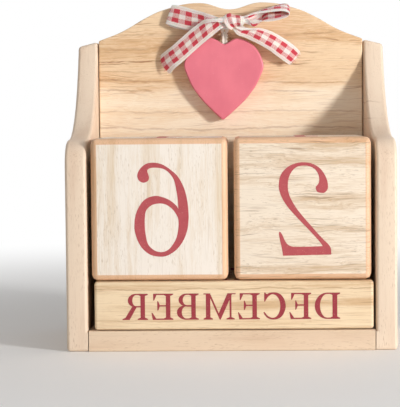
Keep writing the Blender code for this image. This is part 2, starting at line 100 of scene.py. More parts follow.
def add_node(tree, kind, inputs=(), **settings):
    """Adds a shader node. Its settings are its menus, and its inputs are values or other nodes' outputs."""
    node = tree.nodes.new("ShaderNode" + kind)
    for setting, value in settings.items():
        setattr(node, setting, value)
    fill_inputs(tree, node, inputs)
    return node


def calculate(tree, operation, *values):
    """A Math node's answer."""
    return add_node(tree, "Math", enumerate(values), operation=operation).outputs[0]


def ramp(tree, value, low, high, start=0.0, end=1.0, shape="SMOOTHSTEP"):
    """Turns values between low and high into values between start and end."""
    ends = {"Value": value, "From Min": low, "From Max": high, "To Min": start, "To Max": end}
    return add_node(tree, "MapRange", ends, interpolation_type=shape).outputs[0]


def mix_colours(tree, share, first, second, blend="MIX"):
    """The first colour where the share is 0 and the second where it is 1."""
    share_slot, first_slot, second_slot = 0, 6, 7
    inputs = {share_slot: share, first_slot: first, second_slot: second}
    return add_node(tree, "Mix", inputs, data_type="RGBA", blend_type=blend).outputs[2]


def colour(red, green, blue):
    return (red, green, blue, 1.0)


def start_group(name, inputs, outputs):
    """A node group with named sockets, and the nodes inside it that stand for them."""
    tree = bpy.data.node_groups.new(name, "ShaderNodeTree")
    for way, sockets in (("INPUT", inputs), ("OUTPUT", outputs)):
        for socket_name, kind in sockets.items():
            tree.interface.new_socket(name=socket_name, in_out=way, socket_type="NodeSocket" + kind)
    return tree, tree.nodes.new("NodeGroupInput").outputs, tree.nodes.new("NodeGroupOutput").inputs


def use_group(tree, group, inputs):
    """Places a node group in a material."""
    node = tree.nodes.new("ShaderNodeGroup")
    node.node_tree = group
    fill_inputs(tree, node, inputs)
    return node.outputs


def start_material(name, roughness, **values):
    """A new material with its shader's plain values set."""
    material = bpy.data.materials.new(name)
    material.use_nodes = True
    tree = material.node_tree
    shader = tree.nodes["Principled BSDF"].inputs
    shader["Roughness"].default_value = roughness
    for socket_name, value in values.items():
        shader[socket_name.replace("_", " ")].default_value = value
    return material, tree, shader


def surface(tree, shader, base, roughness=None, height=None, relief=0.0):
    """Links a finish to the shader. relief is how far the surface rises where the height is 1."""
    tree.links.new(base, shader["Base Color"])
    if roughness is not None:
        tree.links.new(roughness, shader["Roughness"])
    if height is not None:
        bump = add_node(tree, "Bump", {"Height": height, "Distance": relief, "Strength": 1.0})
        tree.links.new(bump.outputs[0], shader["Normal"])


def place_in_mm(tree, centre, turn=(0.0, 0.0, 0.0)):
    """Where a point is on its piece, in millimetres from the centre, with the piece turned if need be."""
    spot = add_node(tree, "TexCoord").outputs["Object"]
    moved = add_node(tree, "VectorMath", {0: spot, 1: centre}, operation="SUBTRACT").outputs[0]
    scaled = {"Vector": moved, "Rotation": turn, "Scale": (1 / MM, 1 / MM, 1 / MM)}
    return add_node(tree, "Mapping", scaled, vector_type="POINT").outputs[0]


print("node helpers ready")

# %% [markdown]
# ## Light, floor and background
# A plain studio: one soft lamp from the upper right, as in the photograph, a weaker one opposite, and a soft
# one overhead. The floor is pale. Far from the case it fades to plain white, which only the camera and
# mirrors see, so that no horizon shows.

# %% Lamps and floor
def add_lamp(name, place, aim, size, power):
    """A square lamp that faces a point."""
    lamp = bpy.data.lights.new(name, "AREA")
    lamp.size = size
    lamp.energy = power
    item = bpy.data.objects.new(name, lamp)
    item.location = place
    item.rotation_euler = (Vector(aim) - Vector(place)).to_track_quat("-Z", "Y").to_euler()
    bpy.context.scene.collection.objects.link(item)
    return item


CASE_MIDDLE = (0.0, 0.0, 0.06)
LAMPS = {
    "key_lamp": {"place": (0.80, -0.64, 0.23), "size": 0.15, "power": 9.8},
    "fill_lamp": {"place": (-0.75, -0.9, 0.35), "size": 0.9, "power": 1.5},
    "top_lamp": {"place": (0.0, -0.1, 1.1), "size": 0.8, "power": 2.5}}
for lamp_name, values in LAMPS.items():
    add_lamp(lamp_name, aim=CASE_MIDDLE, **values)


def seen_directly(tree):
    """1 for the camera and for what a mirror or a clear thing shows, 0 for light that falls on things."""
    rays = add_node(tree, "LightPath").outputs
    either = calculate(tree, "MAXIMUM", rays["Is Camera Ray"], rays["Is Glossy Ray"])
    return calculate(tree, "MAXIMUM", either, rays["Is Transmission Ray"])


world = bpy.data.worlds.new("studio")
bpy.context.scene.world = world
world.use_nodes = True
sky = world.node_tree
sky.nodes.clear()
ROOM_COLOUR = colour(1.0, 0.985, 0.97)
ROOM_STRENGTH = 0.20
WHITE = colour(1.0, 1.0, 1.0)
room_light = add_node(sky, "Background", {"Color": ROOM_COLOUR, "Strength": ROOM_STRENGTH}).outputs[0]
white = add_node(sky, "Background", {"Color": WHITE, "Strength": 1.0}).outputs[0]
shown = add_node(sky, "MixShader", {0: seen_directly(sky), 1: room_light, 2: white}).outputs[0]
add_node(sky, "OutputWorld", {"Surface": shown})

bpy.context.scene.view_settings.view_transform = "Standard"

FLOOR_SIDE = 8.0
FLOOR_COLOUR = colour(0.92, 0.905, 0.89)
FADE_START = 0.11
FADE_END = 0.48
bpy.ops.object.select_all(action="DESELECT")
bpy.ops.mesh.primitive_plane_add(size=FLOOR_SIDE, location=(0.0, 0.0, 0.0))
floor = bpy.context.object
floor.name = "floor"
floor_paint, tree, shader = start_material("pale floor", 0.75)
shader["Base Color"].default_value = FLOOR_COLOUR
spot = add_node(tree, "TexCoord").outputs["Object"]
away = add_node(tree, "VectorMath", {0: spot}, operation="LENGTH").outputs["Value"]
fade = calculate(tree, "MULTIPLY", ramp(tree, away, FADE_START, FADE_END), seen_directly(tree))
glow = add_node(tree, "Emission", {"Color": WHITE, "Strength": 1.0}).outputs[0]
lit = tree.nodes["Principled BSDF"].outputs[0]
faded = add_node(tree, "MixShader", {0: fade, 1: lit, 2: glow}).outputs[0]
tree.links.new(faded, tree.nodes["Material Output"].inputs["Surface"])
floor.data.materials.append(floor_paint)

# %% [markdown]
# ## Wood
# Every board is real timber, so its grain runs through it: long fibres that wander a little, soft bands of
# darker wood, thin dark lines, short open pores and the rings that an end shows. One node group makes all of
# that from a point's place, with X along the grain. Each board then has its own colours and its own share of
# each mark. Because the pattern is solid, the grain meets at the corners, as in cut wood.

# %% The wood group
wood, given, out = start_group(
    "wood grain",
    {"Place": "Vector", "Light": "Color", "Middle": "Color", "Dark": "Color", "Wander": "Float",
     "Band width": "Float", "Bands": "Float", "Lines": "Float", "Pores": "Float", "Fibres": "Float"},
    {"Color": "Color", "Roughness": "Float", "Height": "Float"})


def stretched_noise(tree, place, along, across, detail=2.0, rough=0.5, deep=1.0):
    """Noise whose blotches are so many millimetres long and wide, from 0 to 1. deep says how many times
    deeper than wide they are, which makes rings on an end."""
    squeezed = add_node(tree, "VectorMath", {0: place, 1: (1 / along, 1 / (across * deep), 1 / across)},
                        operation="MULTIPLY").outputs[0]
    settings = {"Vector": squeezed, "Scale": 1.0, "Detail": detail, "Roughness": rough}
    return add_node(tree, "TexNoise", settings).outputs["Fac"]


def wandering(tree, place, wander):
    """The place, moved across the grain by slow waves, so that whatever is drawn on it wanders."""
    long_wave = calculate(tree, "SUBTRACT", stretched_noise(tree, place, 38.0, 14.0, 1.0), 0.5)
    short_wave = calculate(tree, "SUBTRACT", stretched_noise(tree, place, 9.0, 3.5, 1.0), 0.5)
    wave = calculate(tree, "MULTIPLY", calculate(tree, "MULTIPLY_ADD", short_wave, 0.35, long_wave), wander)
    sideways = add_node(tree, "CombineXYZ", {1: wave, 2: wave}).outputs[0]
    return add_node(tree, "VectorMath", {0: place, 1: sideways}, operation="ADD").outputs[0]


BAND_WIDTH = 4.0
place = wandering(wood, given["Place"], given["Wander"])
narrower = calculate(wood, "DIVIDE", BAND_WIDTH, given["Band width"])
banded = add_node(wood, "VectorMath", {0: place, 3: narrower}, operation="SCALE").outputs[0]
bands = ramp(wood, stretched_noise(wood, banded, 75.0, BAND_WIDTH, 2.0, deep=5.0), 0.42, 0.66)
cloud = ramp(wood, stretched_noise(wood, place, 40.0, 15.0), 0.3, 0.7, -0.25, 0.25, "LINEAR")
fibres = stretched_noise(wood, place, 11.0, 0.30, 3.0, 0.65)
tone = calculate(wood, "MULTIPLY_ADD", bands, given["Bands"], cloud)
tone = calculate(wood, "MULTIPLY_ADD", calculate(wood, "SUBTRACT", fibres, 0.5), given["Fibres"], tone)
tone = add_node(wood, "Clamp", {"Value": tone}).outputs[0]
base = mix_colours(wood, tone, given["Light"], given["Middle"])
thick_lines = ramp(wood, stretched_noise(wood, place, 14.0, 0.42, 1.0, deep=7.0), 0.58, 0.72)
where_lines = ramp(wood, stretched_noise(wood, place, 30.0, 5.0, deep=3.0), 0.36, 0.62, 0.25, 1.0)
lines = calculate(wood, "MULTIPLY", calculate(wood, "MULTIPLY", thick_lines, where_lines), given["Lines"])
pore_noise = stretched_noise(wood, place, 2.2, 0.26, 1.0)
where_pores = ramp(wood, stretched_noise(wood, place, 16.0, 4.0), 0.35, 0.65, 0.1, 1.0)
pores = calculate(wood, "MULTIPLY", ramp(wood, pore_noise, 0.60, 0.70), where_pores)
pores = calculate(wood, "MULTIPLY", pores, given["Pores"])
marks = add_node(wood, "Clamp", {"Value": calculate(wood, "MAXIMUM", lines, pores)}).outputs[0]
wood.links.new(mix_colours(wood, marks, base, given["Dark"]), out["Color"])
wood.links.new(calculate(wood, "MULTIPLY_ADD", marks, 0.15, 0.50), out["Roughness"])
wood.links.new(calculate(wood, "SUBTRACT", calculate(wood, "MULTIPLY", fibres, 0.6), marks), out["Height"])
print("wood group:", len(wood.nodes), "nodes")


def box_edges():
    """A group that is 1 on the broad faces of a box and 0 on its eased edges."""
    group, given, out = start_group(
        "broad faces", {"Place": "Vector", "Half size": "Vector", "Edge": "Float", "Soft": "Float"},
        {"Mask": "Float"})
    inward = add_node(group, "VectorMath", {0: given["Place"]}, operation="ABSOLUTE").outputs[0]
    inward = add_node(group, "VectorMath", {0: given["Half size"], 1: inward},
                      operation="SUBTRACT").outputs[0]
    x, y, z = add_node(group, "SeparateXYZ", {0: inward}).outputs
    nearest = calculate(group, "MINIMUM", calculate(group, "MINIMUM", x, y), z)
    furthest = calculate(group, "MAXIMUM", calculate(group, "MAXIMUM", x, y), z)
    total = calculate(group, "ADD", calculate(group, "ADD", x, y), z)
    second = calculate(group, "SUBTRACT", calculate(group, "SUBTRACT", total, nearest), furthest)
    waver = calculate(group, "SUBTRACT", stretched_noise(group, given["Place"], 6.0, 6.0), 0.5)
    second = calculate(group, "MULTIPLY_ADD", waver, given["Soft"], second)
    limit = calculate(group, "ADD", given["Edge"], given["Soft"])
    group.links.new(ramp(group, second, given["Edge"], limit), out["Mask"])
    return group


broad_faces = box_edges()


LINE_FADE = 3.0
LINE_WANDER = 2.6
LINE_TREMOR = 0.9


def growth_lines(tree, place, lines):
    """Long brown lines and fine cracks, each with its height, start, end, thickness and strength."""
    spot = add_node(tree, "SeparateXYZ", {0: place}).outputs
    slow = calculate(tree, "SUBTRACT", stretched_noise(tree, place, 16.0, 16.0, 1.0), 0.5)
    quick = calculate(tree, "SUBTRACT", stretched_noise(tree, place, 3.0, 3.0, 1.0), 0.5)
    level = calculate(tree, "MULTIPLY_ADD", quick, LINE_TREMOR, spot["Z"])
    level = calculate(tree, "MULTIPLY_ADD", slow, LINE_WANDER, level)
    broken = ramp(tree, stretched_noise(tree, place, 5.0, 1.2, 2.0), 0.34, 0.56, 0.35, 1.0)
    shown = 0.0
    for height, start, end, thickness, strength in lines:
        off = calculate(tree, "ABSOLUTE", calculate(tree, "SUBTRACT", level, height))
        line = ramp(tree, off, 0.0, thickness, strength, 0.0)
        begun = ramp(tree, spot["X"], start - LINE_FADE, start + LINE_FADE)
        not_ended = ramp(tree, spot["X"], end - LINE_FADE, end + LINE_FADE, 1.0, 0.0)
        span = calculate(tree, "MULTIPLY", begun, not_ended)
        shown = calculate(tree, "MAXIMUM", calculate(tree, "MULTIPLY", line, span), shown)
    return calculate(tree, "MULTIPLY", shown, broken)

# %% [markdown]
# ## Boards, blocks and bars
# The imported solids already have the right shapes, so copies of them are used for all but the base: a copy's
# loose triangles are merged, its flat faces are joined up again, and its rounded edges are shaded smooth
# while the broad faces stay flat. The alternative, new boxes with new bevels, could drift from the solids.

# %% Copies of the solids
def deselect_all():
    bpy.ops.object.select_all(action="DESELECT")


def pick(item):
    """Makes one object the only selected and active one."""
    deselect_all()
    item.select_set(True)
    bpy.context.view_layer.objects.active = item


def join(items, name):
    deselect_all()
    for item in items:
        item.select_set(True)
    bpy.context.view_layer.objects.active = items[0]
    bpy.ops.object.join()
    items[0].name = name
    return items[0]


MERGE = 0.002 * MM
FLAT = math.radians(0.5)
SOFT_EDGE = math.radians(40)


def clean(item):
    """Merges what lies in one spot and joins up the parts of each flat face."""
    pick(item)
    bpy.ops.object.mode_set(mode="EDIT")
    bpy.ops.mesh.select_all(action="SELECT")
    bpy.ops.mesh.remove_doubles(threshold=MERGE)
    bpy.ops.mesh.dissolve_limited(angle_limit=FLAT)
    bpy.ops.object.mode_set(mode="OBJECT")


def merged_copy(node_name, name):
    """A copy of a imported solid's mesh, merged into whole faces."""
    node = frame["nodes"][node_name]
    item = bpy.data.objects.new(name, node.data.copy())
    bpy.context.scene.collection.objects.link(item)
    clean(item)
    return item


def paint(item, material):
    """Gives a piece one material in place of any it has."""
    item.data.materials.clear()
    item.data.materials.append(material)


def dress(item, node_name, material):
    """Gives a piece its finish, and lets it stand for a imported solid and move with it."""
    paint(item, material)
    pick(item)
    bpy.ops.object.shade_smooth_by_angle(angle=SOFT_EDGE)
    evened = item.modifiers.new("Broad faces stay flat", "WEIGHTED_NORMAL")
    evened.keep_sharp = True
    bpy.ops.object.modifier_apply(modifier=evened.name)
    for body, members in frame["record"]["behaviour"]["bodies"].items():
        if node_name in members:
            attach(item, body)
    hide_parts(node_name)
    return item


def dressed_copy(node_name, material, name=None):
    return dress(merged_copy(node_name, name or node_name + "_wood"), node_name, material)


def unite(parts):
    """Joins solids into one with no walls inside."""
    whole = parts[0]
    for part in parts[1:]:
        union = whole.modifiers.new("Unite", "BOOLEAN")
        union.operation = "UNION"
        union.solver = "EXACT"
        union.object = part
        pick(whole)
        bpy.ops.object.modifier_apply(modifier=union.name)
        bpy.data.objects.remove(part, do_unlink=True)
    return whole


ALONG_X = (0.0, 0.0, 0.0)
ALONG_Y = (0.0, 0.0, -math.pi / 2)
ALONG_Z = (0.0, math.pi / 2, 0.0)


def middle_of(node_name):
    low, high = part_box(node_name)
    return (low + high) / 2


RAGGED = 12.0
FADE_LOW = 3.0
FADE_HIGH = 9.0
EDGE_WIDTH = 2.1
EDGE_SOFT = 0.16
EDGE_BANDS = 0.5


def wood_material(name, node_name, grain, light, middle, dark, marks, relief=0.05, frame_colours=None,
                  lines=(), upper=None):
    """A timber for one node. With frame colours, its eased edges are another tone than its broad faces. upper
    gives a level, and the light and middle colours and the share of dark lines above it. lines are drawn one
    by one over the grain."""
    material, tree, shader = start_material(name, 0.55)
    place = place_in_mm(tree, middle_of(node_name), grain)
    upright = place_in_mm(tree, (0.0, 0.0, 0.0))
    if upper:
        level, upper_light, upper_middle, upper_lines = upper
        height = add_node(tree, "SeparateXYZ", {0: upright}).outputs["Z"]
        streaks = stretched_noise(tree, upright, 22.0, 3.0, 3.0)
        ragged = calculate(tree, "MULTIPLY_ADD", streaks, RAGGED, height)
        above = ramp(tree, ragged, level + FADE_LOW, level + FADE_HIGH)
        light = mix_colours(tree, above, light, upper_light)
        middle = mix_colours(tree, above, middle, upper_middle)
        marks = {**marks, "Lines": ramp(tree, above, 0.0, 1.0, marks["Lines"], upper_lines)}
    values = {"Place": place, "Light": light, "Middle": middle, "Dark": dark, **marks}
    found = use_group(tree, wood, values)
    base = found["Color"]
    if frame_colours:
        low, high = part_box(node_name)
        half = tuple((high - low) / 2 / MM)
        centred = place_in_mm(tree, middle_of(node_name))
        mask = use_group(tree, broad_faces, {
            "Place": centred, "Half size": half, "Edge": EDGE_WIDTH, "Soft": EDGE_SOFT})
        rim_light, rim_middle = frame_colours
        rim_values = {**values, "Light": rim_light, "Middle": rim_middle, "Bands": EDGE_BANDS}
        rim = use_group(tree, wood, rim_values)["Color"]
        base = mix_colours(tree, mask["Mask"], rim, base)
    if lines:
        base = mix_colours(tree, growth_lines(tree, upright, lines), base, dark)
    surface(tree, shader, base, found["Roughness"], found["Height"], relief * MM)
    return material


# %% Timbers
BLOCK_EDGES = (colour(0.78, 0.49, 0.30), colour(0.60, 0.34, 0.17))
BACK_LINES = (
    (118.0, -45, -26, 0.7, 0.45), (118.3, 20, 42, 0.7, 0.5), (112.5, -50, -24, 0.9, 0.35),
    (107.5, -58, -24, 0.55, 0.95), (106.6, -58, -40, 0.4, 0.75), (106.9, 12, 30, 0.6, 0.8),
    (103.5, -56, -34, 0.5, 0.4), (100.0, -56, -26, 0.8, 0.55), (99.2, 12, 46, 0.6, 0.4),
    (96.2, -56, -36, 0.6, 0.5), (95.8, 16, 34, 0.6, 0.4), (87.6, -56, 50, 0.5, 0.3),
    (81.0, -56, 50, 0.6, 0.4))
BAR_LINES = ((23.0, -56, 56, 0.45, 0.55), (20.4, -40, 18, 0.3, 0.3), (11.0, -50, -10, 0.3, 0.25))
SIDE_LINES = ((90.6, 48, 56.6, 0.25, 0.8), (84.6, 48, 56.6, 0.25, 0.7))
SIDE_COLOURS = (colour(0.79, 0.63, 0.48), colour(0.69, 0.50, 0.36), colour(0.44, 0.27, 0.16))
SIDE_MARKS = {"Wander": 2.0, "Band width": 7.0, "Bands": 0.5, "Lines": 0.15, "Pores": 0.50, "Fibres": 1.1}
SANDED = 0.03
back_wood = wood_material(
    "back board wood", "back_board", ALONG_X, colour(0.94, 0.80, 0.62), colour(0.85, 0.65, 0.44),
    colour(0.34, 0.14, 0.05),
    {"Wander": 5.0, "Band width": 6.0, "Bands": 0.7, "Lines": 0.32, "Pores": 0.14, "Fibres": 2.4},
    lines=BACK_LINES, upper=(97.0, colour(0.84, 0.62, 0.40), colour(0.66, 0.40, 0.20), 0.65))
side_wood = wood_material(
    "side board wood", "left_side", ALONG_Z, *SIDE_COLOURS, SIDE_MARKS, relief=SANDED)
right_side_wood = wood_material(
    "right side board wood", "right_side", ALONG_Z, *SIDE_COLOURS, SIDE_MARKS, relief=SANDED,
    lines=SIDE_LINES)
base_wood = wood_material(
    "base board wood", "base_board", ALONG_X, colour(0.75, 0.58, 0.42), colour(0.65, 0.46, 0.31),
    colour(0.42, 0.25, 0.14), {**SIDE_MARKS, "Lines": 0.18}, relief=SANDED)
cube_left_wood = wood_material(
    "left block wood", "number_cube_left", ALONG_Z, colour(0.87, 0.79, 0.70), colour(0.72, 0.57, 0.40),
    colour(0.42, 0.30, 0.18),
    {"Wander": 2.5, "Band width": 5.0, "Bands": 0.7, "Lines": 0.22, "Pores": 0.42, "Fibres": 1.8},
    frame_colours=BLOCK_EDGES)
cube_right_wood = wood_material(
    "right block wood", "number_cube_right", ALONG_X, colour(0.84, 0.72, 0.58), colour(0.62, 0.45, 0.29),
    colour(0.30, 0.18, 0.10),
    {"Wander": 4.5, "Band width": 5.0, "Bands": 0.9, "Lines": 0.7, "Pores": 0.45, "Fibres": 2.4},
    frame_colours=BLOCK_EDGES)
bar_wood = wood_material(
    "month bar wood", "month_bar_front", ALONG_X, colour(0.84, 0.66, 0.44), colour(0.64, 0.43, 0.24),
    colour(0.36, 0.19, 0.08),
    {"Wander": 1.5, "Band width": 3.4, "Bands": 0.8, "Lines": 0.5, "Pores": 0.25, "Fibres": 1.9},
    lines=BAR_LINES)

dressed_copy("back_board", back_wood)
dressed_copy("number_cube_left", cube_left_wood)
dressed_copy("number_cube_right", cube_right_wood)
for bar in ("month_bar_front", "month_bar_middle", "month_bar_rear"):
    dressed_copy(bar, bar_wood)

# %% [markdown]
# The base is glued between the sides and sanded flush with them, so its ends are square and tight, and the
# sides' inner edges are rounded only above it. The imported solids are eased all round, which would leave a
# dark groove at each bottom corner. So the base is a new box with only its long edges eased, and each side
# gets a small block that fills its inner edge up to the base's top.

# %% Base and sides
BASE_EASE = 0.6 * MM
SIDE_EASE = 1.2 * MM
FILL_TOP = 7.0 * MM
FILL_DEPTH = 3.0 * MM


def eased_box(name, low, high, width, segments, wanted):
    """A box between two corners, whose edges along X are eased where they are wanted."""
    deselect_all()
    bpy.ops.mesh.primitive_cube_add(size=1.0, location=(Vector(low) + Vector(high)) / 2)
    box = bpy.context.object
    box.name = name
    box.scale = Vector(high) - Vector(low)
    bpy.ops.object.transform_apply(location=True, rotation=True, scale=True)
    bpy.ops.object.mode_set(mode="EDIT")
    bpy.ops.mesh.select_mode(type="EDGE")
    bpy.ops.mesh.select_all(action="DESELECT")
    bpy.ops.object.mode_set(mode="OBJECT")
    for edge in box.data.edges:
        start, end = (box.data.vertices[index].co for index in edge.vertices)
        edge.select = abs(start.x - end.x) > MERGE and wanted(start)
    bpy.ops.object.mode_set(mode="EDIT")
    bpy.ops.mesh.bevel(offset=width, segments=segments, affect="EDGES")
    bpy.ops.mesh.select_mode(type="VERT")
    bpy.ops.object.mode_set(mode="OBJECT")
    return box


base_low, base_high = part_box("base_board")
base_piece = eased_box("base_board_wood", base_low, base_high, BASE_EASE, 3, lambda spot: True)
dress(base_piece, "base_board", base_wood)
for node_name, hand, timber in (("left_side", 1, side_wood), ("right_side", -1, right_side_wood)):
    side = merged_copy(node_name, node_name + "_wood")
    low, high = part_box(node_name)
    inner_face = high.x if hand > 0 else low.x
    across = sorted((inner_face, inner_face - hand * SIDE_EASE))
    fill = eased_box(
        "lower inner corner", (across[0], low.y, low.z), (across[1], low.y + FILL_DEPTH, FILL_TOP),
        SIDE_EASE, 2, lambda spot: spot.y < low.y + MERGE and spot.z < low.z + MERGE)
    side = unite([side, fill])
    clean(side)
    dress(side, node_name, timber)
    print(node_name, len(side.data.polygons), "faces")

# %% [markdown]
# ## Numbers and month names
# The prints are what the photograph shows, numerals and a month name in an old book face, and the photograph
# shows them mirrored, so they are printed mirrored here. One value turns them the right way round.
# A font would need a file, so each figure is drawn from a few strokes on a height of 100: bars, slants,
# serifs and bowls, a bowl being a ring between two ellipses. The strokes are cut out as thin solids and
# united.

# %% Strokes
MIRRORED = True
STEM = 17.0
HAIR = 5.0
REACH = 11.0
BRACKET = 5.0
SLAB_FOOT = 4.0


def bar(left, bottom, right, top):
    return [[(left, bottom), (right, bottom), (right, top), (left, top)]]


def slant(bottom_left, top_left, bottom, top, width):
    """A leaning stroke whose ends are cut level."""
    return [[(bottom_left, bottom), (bottom_left + width, bottom), (top_left + width, top), (top_left, top)]]


def foot(left, right, level, reach=REACH):
    """A bracketed serif across the foot of a stroke, or across its head where the level is the height."""
    up = 1.0 if level < 50.0 else -1.0
    ends = [(left - reach, level), (right + reach, level), (right + reach, level + up * SLAB_FOOT),
            (right, level + up * (SLAB_FOOT + BRACKET)), (left, level + up * (SLAB_FOOT + BRACKET)),
            (left - reach, level + up * SLAB_FOOT)]
    return [ends]


def stem(left, width=STEM, bottom=0.0, top=100.0):
    """An upright with a serif at each end."""
    right = left + width
    return [bar(left, bottom, right, top), foot(left, right, bottom), foot(left, right, top)]


def bowl(x, y, wide, tall, thick, thin, start, end, steps=40):
    """Part of a ring between two ellipses, from one angle to another in degrees."""
    outer, inner = [], []
    whole_ring = end - start >= 360
    for step in range(steps if whole_ring else steps + 1):
        angle = math.radians(start + (end - start) * step / steps)
        outer.append((x + wide * math.cos(angle), y + tall * math.sin(angle)))
        inner.append((x + (wide - thick) * math.cos(angle), y + (tall - thin) * math.sin(angle)))
    return [outer, inner] if whole_ring else [outer + inner[::-1]]


def ball(x, y, radius, steps=24):
    """A round dot."""
    angles = [math.tau / steps * step for step in range(steps)]
    return [[(x + radius * math.cos(angle), y + radius * math.sin(angle)) for angle in angles]]


def arm(left, right, level, drop, lean=0.0):
    """A thin arm that ends in a wedge serif: down from a head arm, or up from a foot arm."""
    inner = level - HAIR if drop > 0 else level + HAIR
    tip = level - drop
    return [[(left, level), (right, level), (right + lean, tip), (right + lean - 3.5, tip),
             (right - 13.0, inner), (left, inner)]]


def smooth_outline(points, steps=5):
    """A closed outline that runs smoothly through its points, and turns sharply at those marked SHARP."""
    path = []
    count = len(points)
    for index in range(count):
        before, start, end, after = (points[(index + shift) % count] for shift in (-1, 0, 1, 2))
        first = Vector(start[:2])
        last = Vector(end[:2])
        leave = (last - first) / 3 if len(start) > 2 else (last - Vector(before[:2])) / 6
        arrive = (last - first) / 3 if len(end) > 2 else (Vector(after[:2]) - first) / 6
        for step in range(steps):
            part = step / steps
            rest = 1 - part
            spot = (rest**3 * first + 3 * rest**2 * part * (first + leave)
                    + 3 * rest * part**2 * (last - arrive) + part**3 * last)
            path.append((spot.x, spot.y))
    return path


SHARP = True
SIX_OUTSIDE = [
    (1.5, 84.1), (3.1, 80.4), (7.6, 78.8), (12.1, 81.0), (14.0, 86.2), (11.6, 92.6), (5.2, 98.4),
    (-3.2, 100.0), (-12.8, 97.9), (-22.4, 91.5), (-29.8, 84.0), (-35.6, 72.5), (-38.8, 59.8), (-40.1, 46.0),
    (-40.0, 38.6), (-38.6, 28.0), (-34.0, 16.4), (-26.5, 6.9), (-17.0, 1.0), (-8.5, 0.0), (1.0, 2.1),
    (9.5, 9.0), (14.8, 18.5), (17.4, 28.0), (17.6, 33.0), (16.8, 42.0), (13.2, 52.0), (6.3, 60.8),
    (-3.5, 64.6), (-12.0, 63.5), (-20.5, 59.8), (-26.8, 54.5), (-29.3, 50.8, SHARP), (-28.8, 60.0),
    (-27.4, 70.0), (-25.0, 81.0), (-20.4, 88.4), (-14.0, 93.2), (-5.5, 94.6), (1.0, 93.9), (3.3, 91.5),
    (2.6, 88.4)]
SIX_INSIDE = [
    (6.3, 41.8), (4.9, 49.2), (-1.0, 54.8), (-9.5, 56.6), (-16.8, 55.0), (-23.2, 50.2), (-27.5, 43.9),
    (-29.3, 38.6), (-29.0, 29.2), (-26.8, 19.5), (-22.0, 11.2), (-16.8, 6.4), (-10.4, 4.8), (-3.0, 6.9),
    (3.2, 13.2), (5.4, 21.8), (6.4, 30.2), (6.5, 38.6)]
TWO_OUTSIDE = [
    (14.2, 72.4), (12.4, 74.9), (10.8, 77.6), (10.5, 81.9), (11.9, 87.2), (15.6, 92.1), (20.8, 94.7),
    (26.6, 95.5), (33.6, 94.4), (39.0, 90.0), (42.6, 83.0), (43.6, 75.5), (43.3, 69.1), (41.0, 61.6),
    (35.7, 52.0), (29.3, 43.4), (19.8, 32.3), (12.4, 23.7), (6.0, 16.8), (0.8, 11.5), (-1.6, 7.3),
    (-1.9, 1.2, SHARP), (-1.4, 0.9, SHARP), (49.2, 0.0, SHARP), (50.5, 8.3), (52.6, 18.0), (53.4, 23.7),
    (52.5, 25.7), (50.0, 22.7), (47.4, 16.8), (44.2, 12.0), (39.9, 9.9), (34.5, 9.4), (7.0, 9.9, SHARP),
    (10.3, 14.7), (18.7, 24.2), (27.2, 33.2), (35.7, 42.3), (43.1, 50.8), (49.4, 60.4), (52.6, 68.8),
    (53.2, 76.3), (51.6, 84.9), (47.3, 91.2), (41.0, 95.9), (33.6, 98.4), (27.2, 99.1), (18.8, 97.9),
    (11.4, 94.0), (6.1, 88.2), (2.4, 80.8), (1.3, 74.4), (1.9, 70.1), (5.0, 66.8), (9.3, 66.6), (12.9, 68.0)]
C_OUTLINE = [
    (80.4, 102.0, SHARP), (80.4, 66.7, SHARP), (77.5, 67.0, SHARP), (68.6, 82.0), (58.0, 92.0), (47.0, 95.3),
    (33.3, 88.2), (23.5, 72.5), (19.6, 51.0), (23.5, 27.5), (35.3, 9.8), (51.0, 5.7), (66.7, 12.7),
    (80.4, 28.5, SHARP), (83.9, 26.0, SHARP), (78.4, 15.7), (66.7, 4.0), (47.0, -1.2), (27.5, 2.0),
    (11.8, 13.7), (2.0, 33.3), (-0.8, 53.0), (4.0, 74.5), (15.7, 92.2), (31.4, 100.8), (47.0, 102.5),
    (60.8, 100.5), (71.0, 96.0), (76.5, 102.0, SHARP)]
S_OUTLINE = [
    (57.0, 101.0, SHARP), (57.0, 70.0, SHARP), (54.0, 70.0, SHARP), (48.5, 85.0), (40.0, 94.0), (30.0, 96.5),
    (20.0, 93.0), (15.0, 84.0), (18.0, 73.0), (30.0, 64.0), (45.0, 54.5), (58.0, 43.0), (62.0, 28.0),
    (57.0, 11.5), (44.5, 1.0), (30.0, -1.8), (18.0, 1.0), (10.0, 5.5), (6.5, -1.0, SHARP), (3.0, -1.0, SHARP),
    (3.0, 34.0, SHARP), (6.5, 34.0, SHARP), (11.5, 17.5), (20.5, 7.0), (31.0, 3.6), (42.0, 7.0), (47.5, 16.5),
    (45.0, 27.5), (34.0, 36.5), (17.0, 47.0), (5.0, 58.5), (1.0, 73.0), (5.0, 89.0), (16.5, 99.5),
    (30.0, 102.0), (42.0, 99.5), (50.0, 95.0), (54.0, 101.0, SHARP)]
U_OUTLINE = [
    (12.0, 34.0, SHARP), (14.0, 17.0), (24.0, 4.0), (44.0, -2.0), (63.0, 3.0), (75.5, 15.0),
    (80.0, 34.0, SHARP), (74.0, 34.0, SHARP), (70.5, 19.0), (61.0, 9.5), (49.0, 6.0), (36.5, 9.5),
    (30.5, 19.0), (29.0, 34.0, SHARP)]
J_OUTLINE = [
    (41.0, 28.0, SHARP), (39.5, 11.0), (31.5, -1.5), (18.0, -6.0), (8.0, -3.5), (3.0, 4.0), (4.8, 11.5),
    (11.5, 14.5), (17.0, 10.5), (17.0, 3.5), (20.5, 0.5), (23.5, 8.0), (24.0, 28.0, SHARP)]

